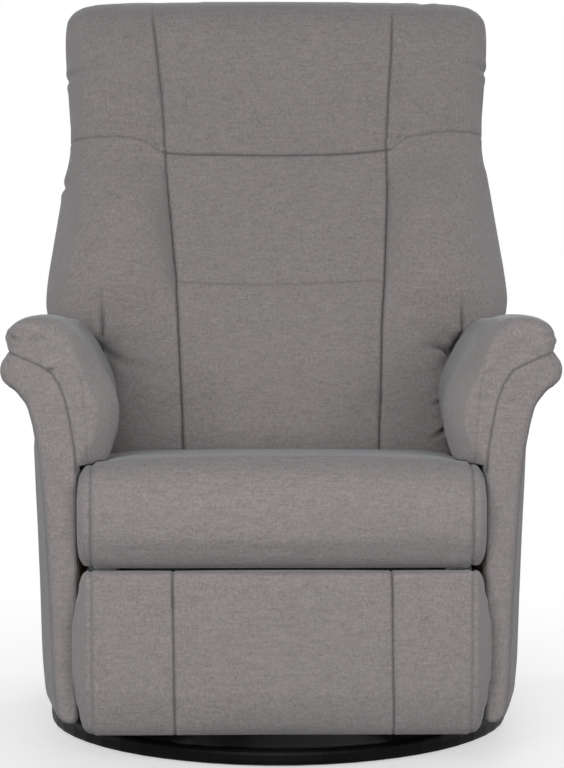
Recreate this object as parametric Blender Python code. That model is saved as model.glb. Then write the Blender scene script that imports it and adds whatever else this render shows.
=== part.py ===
"""Swivel power recliner with winged back, folding legrest and tilting head section.

Metres. +Z is up, -Y is the front, +X is the sitter's left. The origin is on the floor, on the
swivel axis. Every piece that can move hangs from an empty that stands on its joint's axis.
"""
import math

import bmesh
import bpy
from mathutils import Vector

# Clearances
TOUCH = 0.0003            # air between two pieces that rest on each other
PIN_PLAY = 0.0003         # radial air round a pivot pin
SLOT_PLAY = 0.0004        # air beside the roller in its slot

# Base and swivel bearing
FLOOR_PAD_THICKNESS = 0.0035
FLOOR_PAD_INSET = 0.020
BASE_RADIUS = 0.360
BASE_THICKNESS = 0.0262
BASE_EDGE = 0.010
BEARING_RADIUS = 0.090
BEARING_FLANGE = 0.006
BEARING_HUB_RADIUS = 0.050
BEARING_HUB_HEIGHT = 0.0217
BEARING_CAP_HEIGHT = 0.008
SPINDLE_RADIUS = 0.018
SPINDLE_LENGTH = 0.015

# Heights that set the chair's stance
DECK = 0.3345             # top of the wooden seat frame
FRAME_RAIL_HEIGHT = 0.030
FOLDED_LINK_HEIGHT = 0.060

# Widths
SEAT_HALF = 0.290         # half the seat cushion's width
ARM_CLEARANCE = 0.0045    # air between the seat cushion and each arm
BRACKET_REACH = 0.0542    # from a side plate to its arm board
PLATE = 0.004             # steel plate of the side plates and links
LINK_AIR = 0.0005         # air between two neighbouring layers of plate
ARM_INNER = SEAT_HALF + ARM_CLEARANCE
SIDE_PLATE_OUT = ARM_INNER - TOUCH - BRACKET_REACH
SIDE_PLATE_IN = SIDE_PLATE_OUT - PLATE
OUTER_LINK_OUT = SIDE_PLATE_IN - LINK_AIR
OUTER_LINK_IN = OUTER_LINK_OUT - PLATE
INNER_LINK_OUT = OUTER_LINK_IN - LINK_AIR
INNER_LINK_IN = INNER_LINK_OUT - PLATE

# Chassis
MOUNT_PLATE_THICKNESS = 0.005
MOUNT_PLATE_CORE = 0.110
MOUNT_ARM_HALF_WIDTH = 0.030
RAIL_SIZE = 0.025
RAIL_WALL = 0.002
RAIL_FRONT = -0.260
RAIL_REAR = 0.190
CROSS_TUBE_SIZE = 0.025
CROSS_TUBE_TOP = DECK - 0.1045
FRONT_CROSS_Y = -0.1875
REAR_CROSS_Y = 0.1775
SIDE_PLATE_FRONT = -0.336
SIDE_PLATE_REAR = 0.192
SIDE_PLATE_CORNER = 0.014

# Legrest linkage: two equal bars cross at their middles, two more carry the footrest bracket
LEG_PIVOT_Y = -0.296
LEG_PIVOT_DROP = 0.0205   # below the seat frame's underside
LINK_FOLDED = 83.0        # degrees below and above the horizontal when folded
LINK_A_SWING = 85.0       # degrees that the driven bars turn
LINK_B_OPEN = 25.0        # degrees above the horizontal of the crossing bars when open
LINK_HALF_WIDTH = 0.010
PIN_RADIUS = 0.005
PIN_HEAD_RADIUS = 0.0085
PIN_HEAD = 0.002
TORQUE_TUBE_RADIUS = 0.0085
HUB_WALL = 0.0045

# Footrest
FRONT = -0.430            # foremost face of the seat and footrest cushions
FOOT_CUSHION = 0.0617
FOOT_BOARD = 0.012
FOOT_BOARD_HALF = SEAT_HALF - 0.028
FOOT_BOARD_MARGIN = 0.0155
FOOT_BOTTOM = 0.0627
FOOT_TOP_GAP = 0.0010     # air under the seat's front roll
FOOT_FACE_HALF = SEAT_HALF - 0.018
FOOT_GUSSET_BULGE = 0.031
FOOT_GUSSET_END = 0.009
FOOT_TOP_FALL = 0.018
FOOT_SEAM_INSET = 0.1175   # of the vertical seams from the face's ends
FLANGE_WIDTH = 0.026

# Seat
SEAT_REAR = 0.083
STRAP_THICKNESS = 0.002
STRAP_WIDTH = 0.060
STRAP_CENTRES = (-0.215, -0.120, -0.025)
FRAME_FRONT_Y = -0.325
FRAME_FRONT_WIDTH = 0.050
FRAME_REAR_Y = 0.075
FRAME_REAR_WIDTH = 0.045
FRAME_SIDE_IN = 0.021     # side rail's overhang inside its side plate
FRAME_SIDE_OUT = 0.0097   # and outside it
FRAME_EDGE = 0.003
SEAT_ROLL_RADIUS = 0.045
SEAT_ROLL_DROP = 0.0325   # lowest point of the roll below the deck
SEAT_CROWN = 0.123        # highest point above the deck
SEAT_CROWN_SIDE_FALL = 0.007
SEAT_REAR_HEIGHT = 0.0855
SEAT_SEAM_INSET = 0.019
SEAT_SEAM_DEPTH = 0.003
SEAT_SIDE_DRAW = 0.025

# Arms
ARM_FRONT = -0.372
ARM_REAR = 0.310
ARM_BOTTOM = 0.068
BOARD_THICKNESS = 0.012
BOARD_FRONT = -0.330
BOARD_REAR = 0.120
BOARD_BOTTOM = ARM_BOTTOM + 0.010
BOARD_TOP = 0.070         # above the deck
PAD_REAR = 0.100
PAD_TOP = 0.3230          # above the deck, at the front
PAD_TOP_FALL = 0.032      # from the front to the rear end
PAD_UNDER = 0.123         # the part of the pad that overhangs the seat, above the deck
PAD_THICKNESS = 0.056     # how far the pad stands inside the arm panel
SCROLL_RADIUS = 0.027
SCROLL_OUT = 0.0835       # centre of the scroll outside the arm's inner face
SCROLL_HEIGHT = 0.2475    # centre of the scroll above the deck
SEAM_FOOT = 0.1015        # lower end of the seam between pad and panel, above the deck
SCROLL_FOOT = 0.1985      # where the panel's outer face turns into the scroll, above the deck
PANEL_REAR_TOP = 0.2445   # top edge behind the pad, above the deck
PANEL_REAR_FALL = 0.065
PANEL_REAR_DRAW = 0.014   # how much narrower the panel gets towards its rear top edge
BULGE_LENGTH = 0.300      # length over which the side swells out behind its front edge
BULGE_REAR = 0.000        # where it starts to fall again, by
BULGE_FALL = 0.008
ARM_STEP = 0.006          # rounding of the scroll's rear end behind the pad
CURL_STEPS = 8
SEAM_DRAW = 0.30          # how much less the covers are drawn in along the seam of pad and panel
BRACKET_STEEL = 0.003
BRACKET_FRONT = -0.200
BRACKET_REAR = 0.100
BRACKET_DROP = 0.0445     # its top below the seat frame's underside
BRACKET_HEIGHT = 0.063
BRACKET_TOP = DECK - FRAME_RAIL_HEIGHT - BRACKET_DROP
BRACKET_BOTTOM = BRACKET_TOP - BRACKET_HEIGHT

# Rear panel and power inlet
REAR_PANEL_THICKNESS = 0.015
REAR_PANEL_TOP = 0.340
REAR_PANEL_BOTTOM = 0.060
INLET_HALF_WIDTH = 0.017
INLET_HALF_HEIGHT = 0.011
INLET_HEIGHT = 0.115
INLET_FLANGE = 0.005
INLET_FLANGE_THICKNESS = 0.002
INLET_DEPTH = 0.024
INLET_WALL = 0.0055       # round the socket
SOCKET_DEPTH = 0.014

# Back, measured in its own frame: t up along the back, n forward out of it
BACK_LEAN = 13.0
BACK_ORIGIN_Y = 0.100
BACK_ORIGIN_UP = 0.0655   # above the deck
BACK_TOP = 0.7780
NECK = 0.515              # t of the head section's hinge line
NECK_HINGE_N = -0.014
NECK_GROOVE = 16.5        # degrees that each side of the crease falls away
SHELL_FOOT = -0.024       # t of the rear shell's lower edge
WING_AIR = 0.006          # between the side panels' rear top and the wings' lower edge
WING_CORNER = 0.072       # height over which the wings come out to their full width
BACK_SIDE_AIR = 0.0025     # between the lower back and the arms
BACK_PARTING = -0.100     # n of the seam between front cushion and rear shell
SHELL_DEPTH = 0.068
SIDE_N = -0.060           # n of the widest line of the sides
FRAME_DEPTH = 0.0250
RECLINE_PIVOT_Y = 0.170
RECLINE_PIVOT_UP = 0.0255
RECLINE_RANGE = 38.0
EAR_RADIUS = 0.019
UPRIGHT_BOSS = 0.016
UPRIGHT_PIN = 0.006
PIVOT_TUBE_RADIUS = 0.0125
BAR_HEIGHT = 0.030
BAR_FROM_NECK = 0.030
CROSS_BAR_T = NECK - BAR_FROM_NECK - BAR_HEIGHT / 2
HEAD_BAR_T = NECK + BAR_FROM_NECK
HEAD_BAR_HALF = 0.200
HINGE_X = 0.150
HINGE_EAR = 0.003
HINGE_EAR_RADIUS = 0.008
HINGE_PIN_RADIUS = 0.004
HINGE_SLOT_AIR = 0.002
POCKET_AIR = 0.010        # beside the uprights in the shell's pocket
BACK_SEAM_DEPTH = 0.0055
BACK_SEAM_HALF = 0.007
LUMBAR_SEAM = 0.268

# Motors
MOTOR_X = 0.060
LEG_CRANK = 0.0405        # height of the torque tube above the legrest rod's line
BACK_CRANK = 0.0851       # height of the recline pivot above the recline rod's line
BACK_CRANK_REST = 19.0    # degrees behind the vertical at rest
CRANK_PLATE = 0.008
CRANK_PIN = 0.004
CRANK_WALL = 0.005
LEG_SLOT_HALF = 0.007
BACK_SLOT_HALF = 0.0048
SLOT_END_PLAY = 0.0005
CLEVIS_CHEEK = 0.004
CLEVIS_HALF = 0.008
CLEVIS_LENGTH = 0.034
CLEVIS_BASE = 0.010
ROD_RADIUS = 0.005
LEG_ROD_LENGTH = 0.140
BACK_ROD_LENGTH = 0.130
MOTOR_TUBE_RADIUS = 0.011
MOTOR_TUBE_LENGTH = 0.240
BACK_TUBE_LENGTH = 0.200
GEARBOX = (0.080, 0.060, 0.048)
MOTOR_CAN_RADIUS = 0.021
MOTOR_CAN_LENGTH = 0.095
MOTOR_CAN_OFFSET = 0.036  # from the guide tube's axis, away from the chair's middle
MOTOR_LUG = 0.010

# Controls on the sitter's right
BEZEL_CENTRE_Y = -0.020
BEZEL_UP = 0.0905
BEZEL_LENGTH = 0.110
BEZEL_HEIGHT = 0.040
BEZEL_DEPTH = 0.0135
BEZEL_PROUD = 0.0015
BEZEL_SINK = 0.003        # how much lower the pulled-in cover lies round the bezel
BUTTON_LENGTH = 0.018
BUTTON_HEIGHT = 0.022
BUTTON_PITCH = 0.024
BUTTON_PROUD = 0.002
BUTTON_DEPTH = 0.012
CONTROL_BOX = (0.120, 0.080, 0.034)


# Small geometry helpers

def direction(degrees):
    """Unit vector in the (forward, up) plane."""
    angle = math.radians(degrees)
    return math.cos(angle), math.sin(angle)


def along(point, degrees, length):
    """The point that lies a length away from another, in the (forward, up) plane."""
    unit = direction(degrees)
    return point[0] + unit[0] * length, point[1] + unit[1] * length


def arc(centre, radius, start, end, count, radius_v=None):
    """Points on an arc or ellipse, from start to end in degrees."""
    radius_v = radius if radius_v is None else radius_v
    points = []
    for i in range(count + 1):
        angle = math.radians(start + (end - start) * i / count)
        points.append((centre[0] + radius * math.cos(angle), centre[1] + radius_v * math.sin(angle)))
    return points


def circle(centre, radius, count=12):
    return arc(centre, radius, 0, 360, count)[:-1]


def stadium(first, last, radius, count=6):
    """Outline of a bar with round ends between two points."""
    heading = math.degrees(math.atan2(last[1] - first[1], last[0] - first[0]))
    return (arc(last, radius, heading - 90, heading + 90, count)
            + arc(first, radius, heading + 90, heading + 270, count))


def rounded_rectangle(low, high, radius, count=4):
    inner_low = (low[0] + radius, low[1] + radius)
    inner_high = (high[0] - radius, high[1] - radius)
    return (arc(inner_low, radius, 180, 270, count)
            + arc((inner_high[0], inner_low[1]), radius, 270, 360, count)
            + arc(inner_high, radius, 0, 90, count)
            + arc((inner_low[0], inner_high[1]), radius, 90, 180, count))


def ease(value):
    """Smooth step from 0 to 1."""
    value = min(max(value, 0.0), 1.0)
    return value * value * (3 - 2 * value)


def mix(first, second, share):
    return first + (second - first) * share


def smooth_curve(knots):
    """A function through (position, value) knots that never overshoots them."""
    xs = [k[0] for k in knots]
    ys = [k[1] for k in knots]
    slopes = [(ys[i + 1] - ys[i]) / (xs[i + 1] - xs[i]) for i in range(len(xs) - 1)]
    tangents = [slopes[0]]
    for before, after in zip(slopes, slopes[1:]):
        tangents.append(0.0 if before * after <= 0 else 2 * before * after / (before + after))
    tangents.append(slopes[-1])

    def value(x):
        if x <= xs[0]:
            return ys[0]
        if x >= xs[-1]:
            return ys[-1]
        i = max(k for k in range(len(xs) - 1) if xs[k] <= x)
        width = xs[i + 1] - xs[i]
        s = (x - xs[i]) / width
        return ((1 + 2 * s) * (1 - s) ** 2 * ys[i] + s * (1 - s) ** 2 * width * tangents[i]
                + s * s * (3 - 2 * s) * ys[i + 1] + s * s * (s - 1) * width * tangents[i + 1])

    return value


def shrunk(outline, distances):
    """A closed outline moved inwards along its corners' normals, each by its own distance."""
    area = sum(a[0] * b[1] - b[0] * a[1] for a, b in zip(outline, outline[1:] + outline[:1]))
    turn = 1 if area > 0 else -1
    result = []
    for i, point in enumerate(outline):
        before = Vector(point) - Vector(outline[i - 1])
        after = Vector(outline[(i + 1) % len(outline)]) - Vector(point)
        tangent = before.normalized() + after.normalized()
        tangent.normalize()
        inwards = turn * distances[i]
        result.append((point[0] - tangent[1] * inwards, point[1] + tangent[0] * inwards))
    return result


# Frames of reference

LEG_PIVOT = (-LEG_PIVOT_Y, DECK - FRAME_RAIL_HEIGHT - TOUCH - LEG_PIVOT_DROP)
LINK_HALF = (LEG_PIVOT[1] - FOLDED_LINK_HEIGHT) / (2 * math.sin(math.radians(LINK_FOLDED)))
LINK_CROSS = along(LEG_PIVOT, -LINK_FOLDED, LINK_HALF)
LINK_A_END = along(LEG_PIVOT, -LINK_FOLDED, 2 * LINK_HALF)
LINK_B_END = along(LINK_CROSS, LINK_FOLDED, LINK_HALF)
LINK_B_FOOT = along(LINK_CROSS, LINK_FOLDED + 180, LINK_HALF)
LINK_C_END = along(LINK_B_END, -LINK_FOLDED, LINK_HALF)
BACK_ORIGIN = (BACK_ORIGIN_Y, DECK + BACK_ORIGIN_UP)
RECLINE_PIVOT = (RECLINE_PIVOT_Y, DECK + RECLINE_PIVOT_UP)
LEAN_SIN = math.sin(math.radians(BACK_LEAN))
LEAN_COS = math.cos(math.radians(BACK_LEAN))


def from_side(forward, up, x):
    """World point from the (forward, up) plane of the legrest linkage."""
    return x, -forward, up


def from_front(x, z, y):
    """World point from an outline seen from the front."""
    return x, y, z


def from_profile(y, z, x):
    """World point from an outline in the (Y, Z) plane."""
    return x, y, z


def from_back(t, n, x):
    """World point from the back's own frame."""
    return x, BACK_ORIGIN[0] + t * LEAN_SIN - n * LEAN_COS, BACK_ORIGIN[1] + t * LEAN_COS + n * LEAN_SIN


def to_back(y, z):
    """The back's (t, n) of a point in the (Y, Z) plane."""
    dy = y - BACK_ORIGIN[0]
    dz = z - BACK_ORIGIN[1]
    return dy * LEAN_SIN + dz * LEAN_COS, -dy * LEAN_COS + dz * LEAN_SIN


PIVOT_T, PIVOT_N = to_back(*RECLINE_PIVOT)


# Materials and objects

def material(name, colour, roughness, metallic=0.0):
    result = bpy.data.materials.new(name)
    result.use_nodes = True
    shader = result.node_tree.nodes["Principled BSDF"]
    shader.inputs["Base Color"].default_value = (*colour, 1.0)
    shader.inputs["Roughness"].default_value = roughness
    shader.inputs["Metallic"].default_value = metallic
    return result


def clear_scene():
    for thing in list(bpy.data.objects):
        bpy.data.objects.remove(thing, do_unlink=True)


def finish(name, mesh_data, look):
    """Turn a bmesh into a named, shaded object."""
    bmesh.ops.remove_doubles(mesh_data, verts=mesh_data.verts, dist=1e-6)
    bmesh.ops.recalc_face_normals(mesh_data, faces=mesh_data.faces)
    mesh = bpy.data.meshes.new(name)
    mesh_data.to_mesh(mesh)
    mesh_data.free()
    mesh.shade_smooth()
    mesh.set_sharp_from_angle(angle=math.radians(35))
    if look is not None:
        mesh.materials.append(look)
    result = bpy.data.objects.new(name, mesh)
    bpy.context.scene.collection.objects.link(result)
    return result


def prism(name, loops, start, end, place, look=None):
    """A flat outline with holes, given thickness between two planes."""
    data = bmesh.new()
    bottom = []
    edges = []
    for loop in loops:
        verts = [data.verts.new(place(u, v, start)) for u, v in loop]
        bottom.append(verts)
        edges += [data.edges.new((verts[i - 1], verts[i])) for i in range(len(verts))]
    bmesh.ops.triangle_fill(data, use_beauty=True, use_dissolve=False, edges=edges)
    lids = [list(face.verts) for face in data.faces]
    top = {}
    for verts, loop in zip(bottom, loops):
        for vert, (u, v) in zip(verts, loop):
            top[vert] = data.verts.new(place(u, v, end))
    for lid in lids:
        data.faces.new([top[vert] for vert in reversed(lid)])
    for verts in bottom:
        for i in range(len(verts)):
            a, b = verts[i - 1], verts[i]
            data.faces.new((a, b, top[b], top[a]))
    return finish(name, data, look)


def loft(name, rings, look=None, closed=False):
    """A skin through rings of equal point count, capped at both ends or closed on itself."""
    data = bmesh.new()
    rows = [[data.verts.new(point) for point in ring] for ring in rings]
    pairs = list(zip(rows, rows[1:]))
    if closed:
        pairs.append((rows[-1], rows[0]))
    for lower, upper in pairs:
        for i in range(len(lower)):
            data.faces.new((lower[i - 1], lower[i], upper[i], upper[i - 1]))
    if not closed:
        data.faces.new(list(reversed(rows[0])))
        data.faces.new(rows[-1])
    return finish(name, data, look)


def turned(name, profile, look=None, centre=(0, 0, 0), axis="Z", segments=48, closed=False):
    """A revolved (radius, position) profile about a line along Z, X or Y."""
    rings = []
    for radius, position in profile:
        ring = []
        for i in range(segments):
            angle = 2 * math.pi * (i + 0.5) / segments
            u, v = radius * math.cos(angle), radius * math.sin(angle)
            local = {"Z": (u, v, position), "X": (position, u, v), "Y": (u, position, v)}[axis]
            ring.append(tuple(c + p for c, p in zip(centre, local)))
        rings.append(ring)
    return loft(name, rings, look, closed)


def box(name, low, high, look=None, bevel=0.0, segments=2):
    corners = [(low[0], low[1]), (high[0], low[1]), (high[0], high[1]), (low[0], high[1])]
    result = loft(name, [[(x, y, z) for x, y in corners] for z in (low[2], high[2])], look)
    if bevel:
        rounding = result.modifiers.new("rounding", "BEVEL")
        rounding.width = bevel
        rounding.segments = segments
    return result


def combine(target, tool, operation):
    """Join or cut with a helper body that is not a piece itself."""
    tool.hide_render = True
    tool.display_type = "WIRE"
    step = target.modifiers.new(operation.lower(), "BOOLEAN")
    step.operation = operation
    step.object = tool
    return target


def cut(target, tool):
    return combine(target, tool, "DIFFERENCE")


def join(target, tool):
    return combine(target, tool, "UNION")


def mirrored(side, low_x, high_x):
    """X limits of a slab on the left (+1) or right (-1) side."""
    return (low_x, high_x) if side > 0 else (-high_x, -low_x)


def side_name(stem, side):
    return stem + ("_left" if side > 0 else "_right")


SIDES = (1, -1)


class Body:
    """An empty on a joint's axis, with the pieces that move with it."""

    def __init__(self, name, origin, parent=None):
        self.origin = Vector(origin)
        self.empty = bpy.data.objects.new("axis_" + name, None)
        bpy.context.scene.collection.objects.link(self.empty)
        self.empty.empty_display_size = 0.05
        if parent:
            self.empty.parent = parent.empty
            self.empty.location = self.origin - parent.origin
        else:
            self.empty.location = self.origin

    def carry(self, *pieces):
        for piece in pieces:
            for thing in [piece] + [m.object for m in piece.modifiers if m.type == "BOOLEAN"]:
                for vert in thing.data.vertices:
                    vert.co -= self.origin
                thing.parent = self.empty


# Base and swivel

FLOOR_PAD_RADIUS = BASE_RADIUS - FLOOR_PAD_INSET
BASE_BOTTOM = FLOOR_PAD_THICKNESS + TOUCH
BASE_TOP = BASE_BOTTOM + BASE_THICKNESS
HUB_TOP = BASE_TOP + TOUCH + BEARING_FLANGE + BEARING_HUB_HEIGHT
CAP_BOTTOM = HUB_TOP + TOUCH
FLANGE_BOTTOM = CAP_BOTTOM + BEARING_CAP_HEIGHT
FLANGE_TOP = FLANGE_BOTTOM + BEARING_FLANGE + 0.002
MOUNT_BOTTOM = FLANGE_TOP + TOUCH
MOUNT_TOP = MOUNT_BOTTOM + MOUNT_PLATE_THICKNESS
RAIL_BOTTOM = MOUNT_TOP + TOUCH
RAIL_OUT = SIDE_PLATE_IN - TOUCH
RAIL_IN = RAIL_OUT - RAIL_SIZE


def make_base(looks):
    radius = BASE_RADIUS
    edge = BASE_EDGE
    rounded = arc((radius - edge, BASE_TOP - edge), edge, 0, 90, 4)
    profile = [(radius - edge * 0.6, BASE_BOTTOM), (radius - edge * 0.15, BASE_BOTTOM + edge * 0.2),
               (radius, BASE_BOTTOM + edge * 0.7)] + rounded
    disc = turned("base_disc", profile, looks["base"], segments=56)
    pad = turned("floor_pad", [(FLOOR_PAD_RADIUS, 0), (FLOOR_PAD_RADIUS, FLOOR_PAD_THICKNESS)],
                 looks["rubber"], segments=48)
    bottom = BASE_TOP + TOUCH
    flange = bottom + BEARING_FLANGE
    lower = turned("bearing_lower", [
        (BEARING_RADIUS, bottom), (BEARING_RADIUS, flange), (BEARING_HUB_RADIUS + 0.006, flange),
        (BEARING_HUB_RADIUS, flange + 0.006), (BEARING_HUB_RADIUS, HUB_TOP), (SPINDLE_RADIUS, HUB_TOP),
        (SPINDLE_RADIUS, HUB_TOP + SPINDLE_LENGTH)], looks["steel"], segments=32)
    return disc, pad, lower


def make_bearing_upper(looks):
    bore = SPINDLE_RADIUS + PIN_PLAY * 2
    hub = BEARING_HUB_RADIUS
    return turned("bearing_upper", [
        (bore, CAP_BOTTOM), (hub, CAP_BOTTOM), (hub, FLANGE_BOTTOM), (BEARING_RADIUS, FLANGE_BOTTOM),
        (BEARING_RADIUS, FLANGE_TOP), (bore, FLANGE_TOP)], looks["steel"], segments=32, closed=True)


def make_mounting_plate(looks):
    """A round core with four arms that reach under the rails."""
    half = MOUNT_ARM_HALF_WIDTH
    outline = []
    for x_sign, y_end in ((1, RAIL_REAR), (-1, RAIL_REAR), (-1, RAIL_FRONT), (1, RAIL_FRONT)):
        y_sign = 1 if y_end > 0 else -1
        tip = (x_sign * (RAIL_OUT - half * 0.4), y_end - y_sign * half * 0.4)
        heading = math.degrees(math.atan2(tip[1], tip[0]))
        root = math.degrees(math.asin(half / MOUNT_PLATE_CORE))
        outline.append(along((0, 0), heading - root, MOUNT_PLATE_CORE))
        outline.append(along((tip[0] * 0.92, tip[1] * 0.92), heading - 90, half))
        outline += arc((tip[0] * 0.92, tip[1] * 0.92), half, heading - 60, heading + 60, 4)
        outline.append(along((tip[0] * 0.92, tip[1] * 0.92), heading + 90, half))
        outline.append(along((0, 0), heading + root, MOUNT_PLATE_CORE))
    return prism("mounting_plate", [outline], MOUNT_BOTTOM, MOUNT_TOP, lambda x, y, z: (x, y, z),
                 looks["steel"])


# Chassis

def square_tube(name, size, wall, start, end, place, look):
    half = size / 2
    outer = rounded_rectangle((-half, -half), (half, half), wall, 2)
    inner = half - wall
    bore = [(-inner, -inner), (inner, -inner), (inner, inner), (-inner, inner)]
    return prism(name, [outer, bore], start, end, place, look)


def slot_outline(radius):
    """Outline of the slot that guides the crossing bars' rollers."""
    steps = 14
    path = []
    for i in range(steps + 1):
        turn = LINK_A_SWING * i / steps
        path.append(roller_position(turn))
    left, right = [], []
    for i, point in enumerate(path):
        ahead = Vector(path[min(i + 1, steps)]) - Vector(path[max(i - 1, 0)])
        ahead.normalize()
        left.append((point[0] - ahead[1] * radius, point[1] + ahead[0] * radius))
        right.append((point[0] + ahead[1] * radius, point[1] - ahead[0] * radius))
    start = Vector(path[1]) - Vector(path[0])
    start_angle = math.degrees(math.atan2(start[1], start[0]))
    stop = Vector(path[-1]) - Vector(path[-2])
    stop_angle = math.degrees(math.atan2(stop[1], stop[0]))
    end_cap = arc(path[-1], radius, stop_angle - 90, stop_angle + 90, 6)[1:-1]
    start_cap = arc(path[0], radius, start_angle + 90, start_angle + 270, 6)[1:-1]
    return right + end_cap + left[::-1] + start_cap


def roller_position(turn):
    """Where the crossing bars' lower pins stand when the driven bars have turned so far."""
    share = turn / LINK_A_SWING
    low = -LINK_FOLDED + turn
    high = LINK_FOLDED + (LINK_B_OPEN - LINK_FOLDED) * share
    crossing = along(LEG_PIVOT, low, LINK_HALF)
    return along(crossing, high + 180, LINK_HALF)


def make_side_plate(side, looks):
    top = DECK - FRAME_RAIL_HEIGHT - TOUCH
    roller = [roller_position(LINK_A_SWING * i / 6) for i in range(7)]
    lowest = min(point[1] for point in roller) - PIN_RADIUS - SLOT_PLAY - 0.0075
    foremost = -max(max(point[0] for point in roller) + PIN_RADIUS + 0.010, -SIDE_PLATE_FRONT)
    bottom = min(RAIL_BOTTOM - 0.006, lowest + 0.040)
    corner = SIDE_PLATE_CORNER
    front_foot = LEG_PIVOT_Y + 0.034
    ear = RECLINE_PIVOT
    outline = (
        arc((foremost + corner, lowest + corner), corner, 180, 270, 4)
        + arc((front_foot - corner, lowest + corner), corner, 270, 315, 2)
        + [(front_foot + bottom - lowest, bottom)]
        + arc((SIDE_PLATE_REAR - corner, bottom + corner), corner, 270, 360, 4)
        + [(SIDE_PLATE_REAR, ear[1] - EAR_RADIUS * 2.4)]
        + arc(ear, EAR_RADIUS, -10, 200, 10)
        + [(ear[0] - EAR_RADIUS * 2.6, top)]
        + arc((foremost + corner, top - corner), corner, 90, 180, 4))
    slot = [(-forward, up) for forward, up in slot_outline(PIN_RADIUS + SLOT_PLAY)]
    holes = [circle((LEG_PIVOT_Y, LEG_PIVOT[1]), TORQUE_TUBE_RADIUS + PIN_PLAY, 20),
             circle(RECLINE_PIVOT, UPRIGHT_PIN + PIN_PLAY), slot]
    limits = mirrored(side, SIDE_PLATE_IN, SIDE_PLATE_OUT)
    return prism(side_name("side_plate", side), [outline] + holes, *limits, from_profile, looks["steel"])


def make_chassis(looks):
    pieces = [make_bearing_upper(looks), make_mounting_plate(looks)]
    rail_z = RAIL_BOTTOM + RAIL_SIZE / 2
    for side in SIDES:
        centre = side * (RAIL_OUT - RAIL_SIZE / 2)
        pieces.append(square_tube(
            side_name("rail", side), RAIL_SIZE, RAIL_WALL, RAIL_FRONT, RAIL_REAR,
            lambda u, v, w, x=centre: (x + u, w, rail_z + v), looks["steel"]))
        pieces.append(make_side_plate(side, looks))
        pieces.append(make_arm_bracket(side, looks))
    cross_z = CROSS_TUBE_TOP - CROSS_TUBE_SIZE / 2
    reach = SIDE_PLATE_IN - TOUCH
    for name, y in (("front_cross_tube", FRONT_CROSS_Y), ("rear_cross_tube", REAR_CROSS_Y)):
        pieces.append(square_tube(name, CROSS_TUBE_SIZE, RAIL_WALL, -reach, reach,
                                  lambda u, v, w, y=y: (w, y + u, cross_z + v), looks["steel"]))
    return pieces


def make_arm_bracket(side, looks):
    """A folded channel between a side plate and its arm board."""
    inner = SIDE_PLATE_OUT + TOUCH
    outer = ARM_INNER - TOUCH
    steel = BRACKET_STEEL
    outline = [(inner, BRACKET_BOTTOM), (inner + steel, BRACKET_BOTTOM), (inner + steel, BRACKET_TOP - steel),
               (outer - steel, BRACKET_TOP - steel), (outer - steel, BRACKET_BOTTOM), (outer, BRACKET_BOTTOM),
               (outer, BRACKET_TOP), (inner, BRACKET_TOP)]
    outline = [(side * x, z) for x, z in outline]
    return prism(side_name("arm_bracket", side), [outline], BRACKET_FRONT, BRACKET_REAR, from_front,
                 looks["steel"])


# Seat

def make_seat(looks):
    bottom = DECK - FRAME_RAIL_HEIGHT
    outer = SIDE_PLATE_OUT + FRAME_SIDE_OUT
    inner = SIDE_PLATE_IN - FRAME_SIDE_IN
    front_end = FRAME_FRONT_Y + FRAME_FRONT_WIDTH
    rear_start = FRAME_REAR_Y - FRAME_REAR_WIDTH
    pieces = [
        box("seat_frame_front", (-outer, FRAME_FRONT_Y, bottom), (outer, front_end, DECK), looks["wood"],
            FRAME_EDGE, 1),
        box("seat_frame_rear", (-outer, rear_start, bottom), (outer, FRAME_REAR_Y, DECK), looks["wood"],
            FRAME_EDGE, 1)]
    for side in SIDES:
        limits = mirrored(side, inner, outer)
        pieces.append(box(
            side_name("seat_frame", side), (limits[0], front_end + TOUCH, bottom),
            (limits[1], rear_start - TOUCH, DECK), looks["wood"], FRAME_EDGE, 1))
    strap_bottom = DECK + TOUCH
    for number, centre in enumerate(STRAP_CENTRES, 1):
        pieces.append(box(
            "seat_strap_%d" % number, (-outer, centre - STRAP_WIDTH / 2, strap_bottom),
            (outer, centre + STRAP_WIDTH / 2, strap_bottom + STRAP_THICKNESS), looks["webbing"]))
    pieces.append(make_seat_cushion(looks))
    return pieces


def seat_profile(x):
    """The seat cushion's outline in the (Y, Z) plane at one station across it."""
    share = abs(x) / SEAT_HALF
    bottom = DECK + 2 * TOUCH + STRAP_THICKNESS
    roll = (FRONT + SEAT_ROLL_RADIUS, DECK - SEAT_ROLL_DROP + SEAT_ROLL_RADIUS)
    crown = DECK + SEAT_CROWN - SEAT_CROWN_SIDE_FALL * share ** 2
    upper_radius = 0.0675
    upper = (FRONT + 0.070, crown - upper_radius)
    rear_top = DECK + SEAT_REAR_HEIGHT - 0.4 * SEAT_CROWN_SIDE_FALL * share ** 2
    rear_radius = 0.040
    rear_half = (rear_top - bottom) / 2
    points = arc(roll, SEAT_ROLL_RADIUS, 345, 180, 9)
    points += arc(upper, 0.070, 180, 90, 7, upper_radius)
    rear = (SEAT_REAR - rear_radius, bottom + rear_half)
    spans = 5
    for i in range(1, spans + 1):
        s = i / spans
        y = mix(upper[0], rear[0], s)
        if i < spans:
            points.append((y, mix(crown, rear_top, s * s * (3 - 2 * s) * 0.35 + s * 0.65)))
    points += arc(rear, rear_radius, 90, -90, 6, rear_half)
    points.append((FRONT + 0.110, bottom))
    return points


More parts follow.
